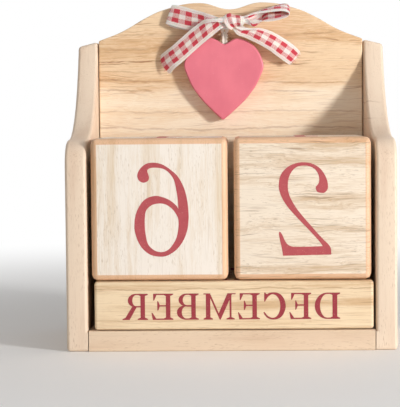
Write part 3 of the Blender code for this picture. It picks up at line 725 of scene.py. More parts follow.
# %% Figures
THICK = 11.0
THIN = 5.4
FIGURES = {
    "0": [bowl(28, 50, 28, 50, THICK + 1, THIN, 0, 360)],
    "1": [stem(12, THICK, 0.0, 100.0)[0], foot(12, 23, 0.0, 12), slant(-4, 12, 82, 100, 6)],
    "2": [[smooth_outline(TWO_OUTSIDE)]],
    "3": [bowl(25, 75, 24, 25, THICK, THIN, -90, 150), bowl(24, 28, 29, 28, THICK + 1, THIN, -150, 90),
          bar(17, 50.6, 26, 56), ball(7, 84, 6.5), ball(4, 17, 7)],
    "4": [bar(33, 0, 33 + THICK, 100), foot(33, 33 + THICK, 0.0, 10), bar(0, 27, 58, 27 + THIN),
          slant(0, 33, 30, 100, 7)],
    "5": [bowl(25, 31, 28, 31, THICK + 1, THIN, -150, 128), bar(8, 52, 8 + THIN, 100),
          [[(8, 100), (48, 100), (45, 90), (8, 90)]], ball(5, 20, 7)],
    "6": [[smooth_outline(SIX_OUTSIDE), smooth_outline(SIX_INSIDE)]],
    "7": [[[(0, 100), (54, 100), (54, 96), (46, 90), (7, 90), (4, 78), (0, 78)]],
          [smooth_outline([(54, 98, SHARP), (40, 72), (31, 44), (28, 8), (26, 0, SHARP), (14, 0, SHARP),
                           (15, 12), (20, 40), (30, 66), (46, 92, SHARP)])]],
    "8": [bowl(26, 75.5, 21, 24.5, THICK - 2, THIN, 0, 360), bowl(26, 27.5, 26, 27.5, THICK, THIN, 0, 360)],
}
LETTERS = {
    "A": [slant(12, 44, 0, 100, 7), slant(72, 40, 0, 100, STEM), foot(10, 17, 0.0, 9), foot(74, 89, 0.0, 9),
          bar(24, 32, 78, 32 + HAIR)],
    "B": stem(12) + [bowl(46, 75.5, 31, 24.5, 16, HAIR, -90, 90), bar(24, 95, 47, 100), bar(24, 50, 47, 56),
                     bowl(48, 28, 36, 28, 19, HAIR, -90, 90), bar(24, 0, 49, HAIR), bar(24, 51, 49, 56)],
    "C": [[smooth_outline(C_OUTLINE)]],
    "D": stem(12, 18) + [bowl(50, 50, 47, 50, 20, HAIR, -90, 90), bar(24, 95, 51, 100), bar(24, 0, 51, HAIR)],
    "E": stem(10) + [arm(24, 75, 100, 26), arm(24, 77, 0, -27, 5), bar(24, 51, 52, 51 + HAIR),
                     [[(56, 36), (59.5, 36), (59.5, 71), (56, 71), (50, 56), (50, 51)]]],
    "F": stem(10) + [arm(24, 74, 100, 26), bar(24, 48, 52, 48 + HAIR),
                     [[(55, 34), (58.5, 34), (58.5, 67), (55, 67), (50, 53), (50, 48)]]],
    "G": [[smooth_outline(C_OUTLINE)], [[(67, 4), (84, 12), (84, 44), (67, 44)]],
          [[(56, 44), (95, 44), (95, 40), (84, 36), (67, 36), (56, 40)]]],
    "H": stem(11) + stem(74) + [bar(24, 48, 76, 48 + HAIR)],
    "I": stem(11),
    "J": [bar(24, 27, 24 + STEM, 100), foot(24, 24 + STEM, 100.0), [smooth_outline(J_OUTLINE)]],
    "L": stem(11) + [arm(24, 78, 0, -30, 5)],
    "M": [bar(16, 0, 23, 100), foot(16, 23, 0.0, 12), bar(96, 0, 96 + STEM, 100), foot(97, 112, 0.0, 10),
          [[(12, 100), (57, 0), (61, 0), (104, 100), (97, 100), (64.3, 24), (31, 100)]],
          bar(0, 96, 28, 100), bar(98, 96, 122, 100)],
    "N": [bar(16, 0, 23, 100), foot(16, 23, 0.0, 12), slant(74, 10, 0, 100, STEM + 2), bar(86, 0, 93, 100),
          foot(86, 93, 100.0, 12), bar(0, 96, 26, 100)],
    "O": [bowl(48, 50, 48, 50, 20, HAIR, 0, 360)],
    "P": stem(12) + [bowl(46, 73, 33, 27, 17, HAIR, -90, 90), bar(24, 95, 47, 100), bar(24, 46, 47, 51)],
    "R": stem(12) + [bowl(46, 74, 31, 26, 17, HAIR, -90, 90), bar(24, 95, 47, 100), bar(24, 48, 47, 53),
                     [[(43, 50), (61, 50), (87, 8), (98, 4), (98, 0), (71, 0)]]],
    "S": [[smooth_outline(S_OUTLINE)]],
    "T": [bar(33, 0, 33 + STEM, 100), foot(33, 50, 0.0), arm(42, 80, 100, 28, 3),
          [[(-point[0] + 83, point[1]) for point in arm(42, 80, 100, 28, 3)[0]]]],
    "U": [bar(12, 33, 12 + STEM, 100), foot(12, 29, 100.0), bar(74, 33, 80, 100), foot(74, 80, 100.0),
          [smooth_outline(U_OUTLINE)]],
    "V": [slant(38, 6, 0, 100, STEM), slant(40, 78, 0, 100, 7), foot(8, 22, 100.0, 9),
          foot(80, 85, 100.0, 9)],
    "Y": [bar(37, 0, 37 + STEM, 46), foot(37, 54, 0.0), slant(38, 8, 40, 100, STEM),
          slant(46, 76, 40, 100, 7), foot(10, 24, 100.0, 9), foot(78, 84, 100.0, 9)],
}
LETTER_GAP = 13.5
CLOSER = {"EM": -5.0, "MB": 5.0}


def cut_out(outlines, name):
    """A flat solid, one unit thick, from a closed outline and the outlines of its holes."""
    curve = bpy.data.curves.new(name, "CURVE")
    curve.dimensions = "2D"
    curve.fill_mode = "BOTH"
    curve.extrude = 0.5
    for outline in outlines:
        spline = curve.splines.new("POLY")
        spline.points.add(len(outline) - 1)
        spline.use_cyclic_u = True
        for point, (x, y) in zip(spline.points, outline):
            point.co = (x, y, 0.0, 1.0)
    item = bpy.data.objects.new(name, curve)
    bpy.context.scene.collection.objects.link(item)
    pick(item)
    bpy.ops.object.convert(target="MESH")
    item = bpy.context.object
    bpy.ops.object.mode_set(mode="EDIT")
    bpy.ops.mesh.select_all(action="SELECT")
    bpy.ops.mesh.remove_doubles(threshold=0.01)
    bpy.ops.mesh.normals_make_consistent(inside=False)
    bpy.ops.object.mode_set(mode="OBJECT")
    return item


figure_shapes = {}
for sign, strokes in {**FIGURES, **LETTERS}.items():
    whole = unite([cut_out(outlines, "figure " + sign) for outlines in strokes])
    across = [vert.co.x for vert in whole.data.vertices]
    for vert in whole.data.vertices:
        vert.co.x -= min(across)
    figure_shapes[sign] = (whole.data.copy(), max(across) - min(across))
    bpy.data.objects.remove(whole, do_unlink=True)
print("figures drawn:", "".join(figure_shapes))

# %% [markdown]
# The ink lies on the wood as a film that is far too thin to see from the side. Each print is given a little
# depth all the same: it is half sunk in the face, so it can't flicker against the wood. A block turns to show
# any face, and the two blocks together have to show 01 to 31, so one has 0 to 5 and the other 0, 1, 2, 6, 7
# and 8, whose 6 is also the 9. The three bars have twelve long faces for the twelve months.

# %% Ink
def ink_material(name, light, dark):
    """Printer's ink: a little uneven, and thin where the grain of the wood stands up through it."""
    material, tree, shader = start_material(name, 0.5)
    place = place_in_mm(tree, (0.0, 0.0, 0.0))
    mottle = stretched_noise(tree, place, 2.5, 2.5, 3.0)
    speck = ramp(tree, stretched_noise(tree, place, 0.5, 0.3, 1.0), 0.64, 0.74)
    red = mix_colours(tree, mottle, light, dark)
    red = mix_colours(tree, calculate(tree, "MULTIPLY", speck, 0.3), red, colour(0.62, 0.30, 0.24))
    surface(tree, shader, red, ramp(tree, mottle, 0.3, 0.7, 0.42, 0.6), mottle, 0.02 * MM)
    return material


figure_ink = ink_material("red print", colour(0.48, 0.085, 0.095), colour(0.38, 0.052, 0.062))
month_ink = ink_material("dark red print", colour(0.34, 0.030, 0.045), colour(0.26, 0.022, 0.032))

INK_DEPTH = 0.12 * MM
INK_PROUD = 0.05 * MM


def print_on(name, text, body, ink, centre, right, up, height):
    """Prints text on a flat face. right and up are the text's directions as a reader sees the face."""
    outward = right.cross(up)
    across = -right if MIRRORED else right
    scale = height / 100.0
    advance = 0.0
    places = []
    for sign, following in zip(text, text[1:] + " "):
        mesh, width = figure_shapes[sign]
        places.append((mesh, advance))
        advance += width + LETTER_GAP + CLOSER.get(sign + following, 0.0)
    half = (advance - LETTER_GAP) / 2
    facing = Matrix((across, up, outward)).transposed().to_4x4()
    size = Matrix.Diagonal((scale, scale, INK_DEPTH, 1.0))
    middle = Matrix.Translation(centre + outward * (INK_PROUD - INK_DEPTH / 2))
    letters = []
    for mesh, start in places:
        letter = bpy.data.objects.new(name, mesh.copy())
        bpy.context.scene.collection.objects.link(letter)
        letter.matrix_world = middle @ facing @ size @ Matrix.Translation((start - half, -50.0, 0.0))
        letters.append(letter)
    item = join(letters, name)
    bpy.ops.object.transform_apply(location=True, rotation=True, scale=True)
    bpy.ops.object.mode_set(mode="EDIT")
    bpy.ops.mesh.select_all(action="SELECT")
    bpy.ops.mesh.normals_make_consistent(inside=False)
    bpy.ops.object.mode_set(mode="OBJECT")
    paint(item, ink)
    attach(item, body)
    return item


X_WAY = Vector((1.0, 0.0, 0.0))
Y_WAY = Vector((0.0, 1.0, 0.0))
Z_WAY = Vector((0.0, 0.0, 1.0))
BLOCK_FACES = {
    "front": (X_WAY, Z_WAY), "right": (Y_WAY, Z_WAY), "back": (-X_WAY, Z_WAY),
    "left": (-Y_WAY, Z_WAY), "top": (X_WAY, Y_WAY), "bottom": (-X_WAY, Y_WAY)}
FIGURE_HEIGHT = 34.3 * MM
FIGURE_SHIFT = 0.8 * MM
BLOCK_PRINTS = {
    "cube_left": {"front": "6", "right": "0", "back": "8", "left": "7", "top": "1", "bottom": "2"},
    "cube_right": {"front": "2", "right": "3", "back": "5", "left": "0", "top": "1", "bottom": "4"}}


def face_centre(node_name, outward):
    """The middle of a node's outermost face in one direction."""
    low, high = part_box(node_name)
    reach = (high - low) / 2
    return middle_of(node_name) + Vector([way * size for way, size in zip(outward, reach)])


for body, prints in BLOCK_PRINTS.items():
    for face, figure in prints.items():
        right, up = BLOCK_FACES[face]
        centre = face_centre("number_" + body, right.cross(up)) + right * FIGURE_SHIFT
        print_on(f"{body}_{face}_figure", figure, body, figure_ink, centre, right, up, FIGURE_HEIGHT)

BAR_FACES = {"front": Z_WAY, "top": Y_WAY, "back": -Z_WAY, "bottom": -Y_WAY}
BAR_PRINTS = {
    "bar_front": {"front": "DECEMBER", "top": "NOVEMBER", "back": "OCTOBER", "bottom": "SEPTEMBER"},
    "bar_middle": {"front": "AUGUST", "top": "JULY", "back": "JUNE", "bottom": "MAY"},
    "bar_rear": {"front": "APRIL", "top": "MARCH", "back": "FEBRUARY", "bottom": "JANUARY"}}
LETTER_HEIGHT = 9.62 * MM
MONTH_SHIFT = -1.0 * MM
MONTH_DROP = 0.35 * MM
for body, prints in BAR_PRINTS.items():
    for face, month in prints.items():
        up = BAR_FACES[face]
        centre = face_centre("month_" + body, X_WAY.cross(up)) + X_WAY * MONTH_SHIFT - up * MONTH_DROP
        print_on(f"{body}_{face}_month", month, body, month_ink, centre, X_WAY, up, LETTER_HEIGHT)
print("prints:", sum(len(prints) for prints in [*BLOCK_PRINTS.values(), *BAR_PRINTS.values()]))

# %% [markdown]
# ## The bow
# The bow is one length of checked cotton ribbon, 8 mm wide: two loops and two tails that run into a knot. A
# cloth simulation of so small a bow loses the folds that give it its look, so each run of ribbon is cut flat,
# as a grid at its real size, and then laid along its path. A path is a row of stations, and each station says
# where the ribbon's two edges are, how far its middle stands out, and how much of its width is tucked into a
# pleat. Near the knot the ribbon is pleated to less than half its width.

# %% Laying a ribbon
RIBBON_WIDTH = 8.0
RIBBON_THICKNESS = 0.24
GRID_ALONG = 0.45
GRID_ACROSS = 40
PLEAT_LIFT = 0.95
DEEPEST_PLEAT = 2.6


def between(stations, part):
    """The station at a place along a path, counted in stations, on a smooth curve through them all."""
    last = len(stations) - 1
    index = min(int(part), last - 1)
    t = part - index
    picked = [stations[min(max(index + shift, 0), last)] for shift in (-1, 0, 1, 2)]
    weights = (-0.5 * t + t * t - 0.5 * t**3, 1 - 2.5 * t * t + 1.5 * t**3,
               0.5 * t + 2 * t * t - 1.5 * t**3, -0.5 * t * t + 0.5 * t**3)
    return [sum((weight * value for weight, value in zip(weights, values)), Vector((0.0, 0.0, 0.0)))
            for values in zip(*picked)]


def station(first_edge, second_edge, middle=(0.0, 0.0, 0.0), pleat=0.0):
    """A station's two edges, the stand of its middle and its pleat, all as vectors."""
    return Vector(first_edge), Vector(second_edge), Vector(middle), Vector((pleat, 0.0, 0.0))


def even_steps(stations, step):
    """Places along a path that are the same length of ribbon apart, and that length."""
    fine = [index / 20 for index in range(20 * (len(stations) - 1) + 1)]
    middles = []
    for part in fine:
        first, second, middle, pleat = between(stations, part)
        middles.append((first + second) / 2 + middle)
    lengths = [0.0]
    for start, end in zip(middles, middles[1:]):
        lengths.append(lengths[-1] + (end - start).length)
    count = max(2, round(lengths[-1] / step))
    places = []
    index = 0
    for number in range(count + 1):
        wanted = lengths[-1] * number / count
        while index < len(fine) - 2 and lengths[index + 1] < wanted:
            index += 1
        share = (wanted - lengths[index]) / max(lengths[index + 1] - lengths[index], 1e-9)
        places.append(fine[index] + (fine[index + 1] - fine[index]) * share)
    return places, lengths[-1]


def smooth_step(value):
    """0 below 0, 1 above 1, and a smooth rise between."""
    value = min(max(value, 0.0), 1.0)
    return value * value * (3 - 2 * value)


def laid_point(stations, part, across, front, fold):
    """Where a point of the flat ribbon comes to lie. across is from 0 to the ribbon's width, and fold is
    where the pleat starts."""
    first, second, middle, pleat = between(stations, part)
    tuck = min(max(pleat.x, 0.0), DEEPEST_PLEAT)
    if across < fold:
        shown = across
    elif across < fold + tuck:
        shown = 2 * fold - across
    else:
        shown = across - 2 * tuck
    share = shown / (RIBBON_WIDTH - 2 * tuck)
    ahead = between(stations, min(part + 0.01, len(stations) - 1))
    behind = between(stations, max(part - 0.01, 0.0))
    along = (ahead[0] + ahead[1]) - (behind[0] + behind[1])
    facing = along.cross(second - first).normalized() * front
    buried = smooth_step((across - fold + 0.25) / (tuck + 0.5)) if tuck > 0.02 else 0.0
    lift = PLEAT_LIFT * smooth_step(tuck / 0.8) * (0.5 - buried)
    return first + (second - first) * share + middle * 4 * share * (1 - share) + facing * lift


def ribbon_run(name, stations, shift, front, fold):
    """Cuts a run of ribbon flat, with its weave's map in millimetres, and lays it along its stations."""
    places, length = even_steps(stations, GRID_ALONG)
    deselect_all()
    bpy.ops.mesh.primitive_grid_add(x_subdivisions=len(places) - 1, y_subdivisions=GRID_ACROSS, size=1.0,
                                    calc_uvs=True)
    item = bpy.context.object
    item.name = name
    cloth = item.data
    weave_map = cloth.uv_layers.active.data
    for loop in cloth.loops:
        flat = cloth.vertices[loop.vertex_index].co
        weave_map[loop.index].uv = ((flat.x + 0.5) * length + shift, (0.5 - flat.y) * RIBBON_WIDTH)
    for vert in cloth.vertices:
        column = round((vert.co.x + 0.5) * (len(places) - 1))
        across = (0.5 - vert.co.y) * RIBBON_WIDTH
        vert.co = laid_point(stations, places[column], across, front, fold) * MM
    return item, length


def finish_ribbon(item, node_name):
    """Gives a run its thickness and a last smoothing, and lets it stand for its solid."""
    pick(item)
    thick = item.modifiers.new("Thickness", "SOLIDIFY")
    thick.thickness = RIBBON_THICKNESS * MM
    thick.offset = 0.0
    smooth = item.modifiers.new("Smoothing", "SUBSURF")
    smooth.levels = 1
    smooth.render_levels = 1
    for modifier in (thick.name, smooth.name):
        bpy.ops.object.modifier_apply(modifier=modifier)
    bpy.ops.object.shade_smooth()
    paint(item, gingham)
    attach(item, "case")
    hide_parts(node_name)


# %% [markdown]
# ### Gingham
# Gingham is a plain weave of dyed yarn. Here the length has two rows of red threads between white selvages,
# and the cross threads are red and white in turn, so a square is red where red meets red, pink where it meets
# white, and white elsewhere. The threads are made as they are, over and under, so the pink is really a
# mixture of red and white threads. The ribbon's flat map, in millimetres, says where each thread runs.

# %% Gingham
THREAD = 0.235
WEFT_REPEAT = 5.37
ROWS = (1.45, 3.10, 4.75, 6.40)
INNER_LINES = ((0.78, 0.98), (7.02, 7.22))
CHECKED_PART = (1.3, 6.55)
gingham, tree, shader = start_material(
    "checked cotton", 0.85, Sheen_Weight=0.15, Sheen_Roughness=0.5, Subsurface_Weight=0.35,
    Subsurface_Scale=0.5 * MM, Subsurface_Radius=(1.0, 0.30, 0.22))
flat_map = add_node(tree, "UVMap").outputs[0]
ways = add_node(tree, "SeparateXYZ", {0: flat_map}).outputs
along, across = ways["X"], ways["Y"]
slack = add_node(tree, "TexNoise", {"Vector": flat_map, "Scale": 0.8, "Detail": 2.0}).outputs["Fac"]
wobble = calculate(tree, "SUBTRACT", slack, 0.5)
weft_place = calculate(tree, "DIVIDE", calculate(tree, "MULTIPLY_ADD", wobble, 0.10, along), THREAD)
warp_place = calculate(tree, "DIVIDE", calculate(tree, "MULTIPLY_ADD", wobble, 0.06, across), THREAD)
parity = calculate(tree, "ADD", calculate(tree, "FLOOR", weft_place), calculate(tree, "FLOOR", warp_place))
odd = calculate(tree, "FRACT", calculate(tree, "MULTIPLY", parity, 0.5))
weft_on_top = calculate(tree, "GREATER_THAN", odd, 0.25)


def hump(place):
    """A thread's round top: 1 along its middle, 0 at its edges."""
    middle = calculate(tree, "SUBTRACT", calculate(tree, "FRACT", place), 0.5)
    squared = calculate(tree, "MULTIPLY", middle, middle)
    return calculate(tree, "SUBTRACT", 1.0, calculate(tree, "MULTIPLY", squared, 4.0))


def stripe(place, start, end, soft=0.12):
    """1 between two places and 0 beyond them, with a soft change at each."""
    rise = ramp(tree, place, start - soft, start + soft, shape="LINEAR")
    return calculate(tree, "MULTIPLY", rise, ramp(tree, place, end - soft, end + soft, 1.0, 0.0, "LINEAR"))


red_rows = calculate(tree, "ADD", stripe(across, ROWS[0], ROWS[1]), stripe(across, ROWS[2], ROWS[3]))
edge_line = calculate(tree, "ADD", *[stripe(across, start, end, 0.05) for start, end in INNER_LINES])
red_warp = calculate(tree, "MAXIMUM", red_rows, calculate(tree, "MULTIPLY", edge_line, 0.5))
weft_turn = calculate(tree, "FRACT", calculate(tree, "DIVIDE", along, WEFT_REPEAT))
dyed = calculate(tree, "MULTIPLY", ramp(tree, weft_turn, 0.235, 0.265, shape="LINEAR"),
                 ramp(tree, weft_turn, 0.735, 0.765, 1.0, 0.0, "LINEAR"))
red_weft = calculate(tree, "MULTIPLY", dyed, stripe(across, *CHECKED_PART))
on_top = add_node(tree, "Mix", {0: weft_on_top, 2: red_warp, 3: red_weft}).outputs[0]
thread_height = add_node(tree, "Mix", {0: weft_on_top, 2: hump(warp_place), 3: hump(weft_place)}).outputs[0]
fuzz = add_node(tree, "TexNoise", {"Vector": flat_map, "Scale": 14.0, "Detail": 2.0}).outputs["Fac"]
red_yarn = mix_colours(tree, fuzz, colour(0.58, 0.022, 0.042), colour(0.76, 0.070, 0.105))
white_yarn = mix_colours(tree, fuzz, colour(0.94, 0.80, 0.73), colour(0.99, 0.91, 0.85))
woven = mix_colours(tree, on_top, white_yarn, red_yarn)
# Painted shade: where a thread's round top falls away into the gap beside its neighbour, its colour is
# darkened, on top of the bump that the same height gives.
painted_shade_between_threads = ramp(tree, thread_height, 0.0, 0.55, 0.72, 1.0)
painted_thread_shade = add_node(tree, "CombineColor", {0: painted_shade_between_threads, 1: painted_shade_between_threads, 2: painted_shade_between_threads}).outputs[0]
woven = mix_colours(tree, 1.0, woven, painted_thread_shade, "MULTIPLY")
surface(tree, shader, woven, None, thread_height, 0.05 * MM)
print("gingham:", len(tree.nodes), "nodes")

# %% [markdown]
# ### Loops and tails
# The stations are read off the photograph, edge by edge, in millimetres: each has the upper or front edge,
# the lower or rear edge, the stand of the middle and the pleat. The left loop stands on its edge, and the
# right loop lies over, so its inside shows. Each run starts and ends inside the knot. For each run the table
# below gives where its weave starts, in millimetres, which way its pleat rises, and where the pleat starts.

# %% Loops and tails
LEFT_TAIL = [
    station((0.6, 14.4, 123.2), (0.6, 14.4, 120.6), pleat=2.4),
    station((-1.6, 13.4, 123.7), (-1.2, 13.6, 120.5), pleat=2.3),
    station((-3.1, 13.1, 123.8), (-2.7, 13.4, 120.1), pleat=2.15),
    station((-5.4, 13.3, 123.9), (-4.4, 13.6, 119.2), pleat=1.6),
    station((-7.8, 13.9, 123.8), (-6.2, 14.2, 117.8), (0.0, -0.2, 0.0), 0.9),
    station((-10.2, 14.7, 123.4), (-8.2, 14.9, 116.2), (0.0, -0.4, 0.0), 0.25),
    station((-12.6, 16.1, 121.9), (-10.0, 15.9, 114.8), (0.0, -0.5, 0.0)),
    station((-16.0, 17.2, 119.4), (-12.8, 16.9, 112.5), (0.0, -0.5, 0.0)),
    station((-19.3, 18.1, 116.6), (-15.8, 17.4, 109.9), (0.0, -0.4, 0.0)),
    station((-22.9, 19.4, 113.6), (-19.1, 18.0, 107.0), (-0.2, -0.3, -0.1)),
    station((-25.1, 20.9, 112.1), (-21.6, 18.8, 105.1), (-0.6, -0.2, -0.3)),
    station((-27.6, 22.5, 110.2), (-23.9, 20.9, 102.7), (-1.1, 0.0, -0.5))]
RIGHT_TAIL = [
    station((1.5, 14.9, 121.2), (0.9, 14.9, 120.3), pleat=2.5),
    station((3.4, 15.2, 120.7), (1.4, 15.2, 119.3), pleat=2.4),
    station((5.6, 15.8, 120.4), (3.0, 15.8, 117.4), (0.0, -0.3, 0.0), 1.9),
    station((8.2, 16.6, 120.1), (5.5, 16.3, 116.6), (0.0, -0.8, 0.2), 1.3),
    station((11.0, 17.3, 120.2), (8.1, 16.8, 115.4), (0.0, -1.2, 0.3), 0.5),
    station((13.7, 17.8, 119.7), (10.6, 17.3, 114.2), (0.0, -1.1, 0.2), 0.15),
    station((16.6, 18.2, 118.7), (12.9, 17.7, 112.9), (0.0, -1.0, 0.0)),
    station((19.6, 18.9, 117.1), (15.6, 18.3, 111.3), (0.0, -1.0, 0.0)),
    station((22.4, 19.7, 115.3), (18.1, 19.2, 109.4), (0.0, -0.9, 0.0)),
    station((25.2, 20.4, 113.3), (20.9, 20.0, 107.4), (0.1, -0.5, 0.0)),
    station((27.6, 21.0, 111.0), (23.2, 20.7, 105.8), (0.4, 0.0, -0.2))]
LEFT_LOOP = [
    station((0.8, 14.9, 123.4), (0.8, 14.9, 120.8), pleat=2.5),
    station((-2.2, 15.9, 123.7), (-2.0, 15.9, 120.5), pleat=2.4),
    station((-5.0, 16.1, 124.6), (-4.6, 16.2, 120.2), pleat=1.8),
    station((-8.4, 16.5, 125.9), (-8.0, 16.6, 119.8), pleat=0.9),
    station((-12.0, 17.9, 127.1), (-11.8, 17.9, 119.5), (0.0, -0.2, 0.0), 0.2),
    station((-15.3, 18.9, 128.1), (-15.8, 18.9, 119.8), (0.0, -0.3, 0.0)),
    station((-18.1, 19.8, 129.0), (-19.4, 19.8, 120.6), (0.0, -0.2, 0.0)),
    station((-20.7, 20.5, 129.6), (-22.5, 20.6, 121.5), (0.0, -0.1, 0.0)),
    station((-22.4, 21.2, 129.8), (-24.8, 21.2, 122.2)),
    station((-22.9, 21.9, 129.7), (-25.5, 21.9, 122.6), (-0.2, 0.0, 0.0)),
    station((-22.2, 22.6, 129.4), (-24.9, 22.6, 122.1)),
    station((-20.3, 22.9, 128.7), (-22.4, 22.9, 120.9), (0.0, 0.1, 0.0)),
    station((-16.0, 22.6, 127.4), (-17.2, 22.6, 119.8), (0.0, 0.1, 0.0)),
    station((-11.0, 21.3, 125.9), (-11.4, 21.3, 119.4), (0.0, 0.2, 0.0), 0.6),
    station((-6.0, 19.3, 124.2), (-5.8, 19.3, 119.9), pleat=1.7),
    station((-2.6, 17.6, 123.2), (-2.4, 17.6, 120.5), pleat=2.4),
    station((0.4, 16.2, 122.9), (0.4, 16.2, 120.9), pleat=2.5)]
RIGHT_LOOP = [
    station((1.6, 13.8, 123.4), (1.6, 15.4, 124.4), pleat=2.5),
    station((4.0, 13.7, 123.4), (3.9, 15.6, 124.7), pleat=2.5),
    station((5.8, 13.6, 123.7), (5.6, 16.4, 125.1), pleat=2.4),
    station((7.8, 13.7, 124.4), (7.8, 18.0, 125.8), (0.0, -0.3, 0.4), 1.5),
    station((10.0, 13.8, 125.0), (10.0, 19.4, 126.4), (0.0, -0.5, 0.8), 0.7),
    station((12.2, 13.8, 125.6), (12.2, 20.2, 127.0), (0.0, -0.6, 0.9), 0.3),
    station((14.5, 13.8, 126.0), (14.5, 20.5, 127.6), (0.0, -0.6, 0.9)),
    station((16.8, 13.8, 126.3), (16.8, 20.7, 128.4), (0.0, -0.6, 0.9)),
    station((19.0, 13.8, 126.5), (19.3, 20.9, 129.4), (0.0, -0.5, 0.7)),
    station((21.2, 13.8, 126.4), (21.6, 21.0, 129.9), (0.0, -0.3, 0.5)),
    station((22.7, 13.8, 125.9), (22.9, 21.0, 129.6), (0.1, 0.0, 0.3)),
    station((23.2, 13.8, 125.2), (23.4, 20.9, 128.6), (0.1, -0.1, 0.1)),
    station((22.7, 13.8, 124.4), (23.0, 20.8, 127.6), (0.0, -0.3, 0.3)),
    station((21.2, 13.8, 123.7), (21.6, 20.5, 127.4), (0.0, -0.4, 0.4)),
    station((19.2, 13.8, 123.1), (19.5, 20.2, 127.2), (0.0, -0.3, 0.3)),
    station((16.6, 13.9, 122.6), (16.8, 20.1, 127.0), (0.0, -0.3, 0.2)),
    station((14.2, 14.0, 122.5), (14.2, 20.1, 126.7), (0.0, -0.3, 0.0)),
    station((12.0, 14.1, 122.9), (12.0, 19.8, 126.3), (0.0, -0.6, -1.8)),
    station((9.8, 14.5, 123.5), (9.8, 18.9, 125.7), (0.0, -0.5, -3.7)),
    station((8.0, 14.9, 123.6), (8.0, 17.8, 124.6), (0.0, -0.5, -3.2), 0.7),
    station((6.2, 15.2, 123.5), (6.2, 16.9, 123.4), (0.0, -0.2, -1.3), 1.9),
    station((2.0, 15.2, 122.6), (2.0, 16.2, 121.0), pleat=2.5)]
RUNS = {
    "bow_tail_left": (LEFT_TAIL, 1.45, 1.0, 1.6),
    "bow_tail_right": (RIGHT_TAIL, 2.7, -1.0, 1.6),
    "bow_loop_left": (LEFT_LOOP, 1.0, 1.0, 3.3),
    "bow_loop_right": (RIGHT_LOOP, 0.8, 1.0, 1.6)}
for node_name, (stations, shift, front, fold) in RUNS.items():
    item, length = ribbon_run(node_name + "_ribbon", stations, shift, front, fold)
    finish_ribbon(item, node_name)
    print(node_name, "is", round(length, 1), "mm of ribbon")

# %% [markdown]
# ### The knot
# The knot is the same ribbon, passed once round the other runs and pulled tight, so it is a closed band, wide
# at the top, gathered at the foot and pinched in at both sides. Its ends are tucked in behind, out of sight.

# %% Knot
KNOT_DEPTH = 14.45
KNOT_REACH = 2.5
KNOT_ROUND = 72
KNOT_REPEATS = 3
KNOT_LEFT = ((0.0, 0.4), (0.1, -0.8), (0.35, -1.9), (0.65, -2.6), (0.9, -2.8), (1.0, -2.3))
KNOT_RIGHT = ((0.0, 4.9), (0.3, 5.6), (0.6, 5.9), (1.0, 5.3))
KNOT_TOP = (
    (0.0, 124.6), (0.12, 125.6), (0.3, 125.8), (0.45, 125.3), (0.6, 125.0), (0.85, 124.8), (1.0, 124.5))
KNOT_FOOT = ((0.0, 119.7), (0.15, 120.0), (0.3, 120.6), (0.5, 121.0), (0.75, 121.2), (1.0, 120.8))
KNOT_SHIFT = 1.55
KNOT_PINCH = 0.22
CREASES = 2.5
CREASE_LEAST = 0.07
CREASE_AT_FOOT = 0.16


def read_off(line, place):
    """The height of a line of points at a place along it."""
    for (start, low), (end, high) in zip(line, line[1:]):
        if place <= end:
            return low + (high - low) * (place - start) / (end - start)
    return line[-1][1]


def knot_point(turn, share):
    """A point of the knot's band. turn goes once round it from the foot, up the front, share across it."""
    angle = math.tau * turn
    height = (1 - math.cos(angle)) / 2
    left = read_off(KNOT_LEFT, height)
    right = read_off(KNOT_RIGHT, height)
    top = read_off(KNOT_TOP, share)
    foot_level = read_off(KNOT_FOOT, share)
    pinch = 1 - KNOT_PINCH * abs(2 * share - 1)**3
    crease = CREASE_LEAST + CREASE_AT_FOOT * (1 - smooth_step(height))
    fold = crease * math.sin(math.tau * (CREASES * share + 0.18 + 0.25 * height))
    return Vector((left + (right - left) * share,
                   KNOT_DEPTH - math.sin(angle) * (KNOT_REACH + fold) * pinch,
                   (top + foot_level) / 2 - math.cos(angle) * ((top - foot_level) / 2 + fold)))


deselect_all()
bpy.ops.mesh.primitive_grid_add(x_subdivisions=KNOT_ROUND, y_subdivisions=GRID_ACROSS, size=1.0,
                                calc_uvs=True)
knot = bpy.context.object
knot.name = "bow_knot_ribbon"
weave_map = knot.data.uv_layers.active.data
knot_length = WEFT_REPEAT * KNOT_REPEATS
for loop in knot.data.loops:
    flat = knot.data.vertices[loop.vertex_index].co
    weave_map[loop.index].uv = ((flat.x + 0.5) * knot_length + KNOT_SHIFT, (0.5 - flat.y) * RIBBON_WIDTH)
for vert in knot.data.vertices:
    vert.co = knot_point(vert.co.x + 0.5, 0.5 - vert.co.y) * MM
pick(knot)
bpy.ops.object.mode_set(mode="EDIT")
bpy.ops.mesh.select_all(action="SELECT")
bpy.ops.mesh.remove_doubles(threshold=MERGE)
bpy.ops.object.mode_set(mode="OBJECT")
finish_ribbon(knot, "bow_knot")
print("knot:", len(knot.data.polygons), "faces")

# %% [markdown]
# ## The heart
# A flat wooden heart, sanded round at its edges and given two coats of satin paint. The paint fills the
# grain, and what shows is the brush: faint upright strokes in its gloss and a slightly uneven depth of
# colour. The photograph shows it tilted by a degree and a half, about the point that it hangs on.

# %% Heart
heart_paint, tree, shader = start_material("pink satin paint", 0.4, Coat_Weight=0.15, Coat_Roughness=0.35)
place = place_in_mm(tree, middle_of("heart"), ALONG_Z)
strokes = stretched_noise(tree, place, 26.0, 0.9, 3.0, 0.6)
depth = stretched_noise(tree, place, 14.0, 9.0, 2.0)
dust = stretched_noise(tree, place, 0.5, 0.5, 2.0)
painted = mix_colours(
    tree, ramp(tree, depth, 0.3, 0.7), colour(0.72, 0.165, 0.220), colour(0.80, 0.200, 0.252))
painted = mix_colours(tree, ramp(tree, dust, 0.68, 0.76, 0.0, 0.25), painted, colour(0.90, 0.42, 0.45))
height = calculate(tree, "MULTIPLY_ADD", dust, 0.3, strokes)
surface(tree, shader, painted, ramp(tree, strokes, 0.3, 0.7, 0.34, 0.48), height, 0.03 * MM)
HEART_TILT = math.radians(-1.5)
HANGING_POINT = Vector((-2.2, 21.1, 121.0)) * MM
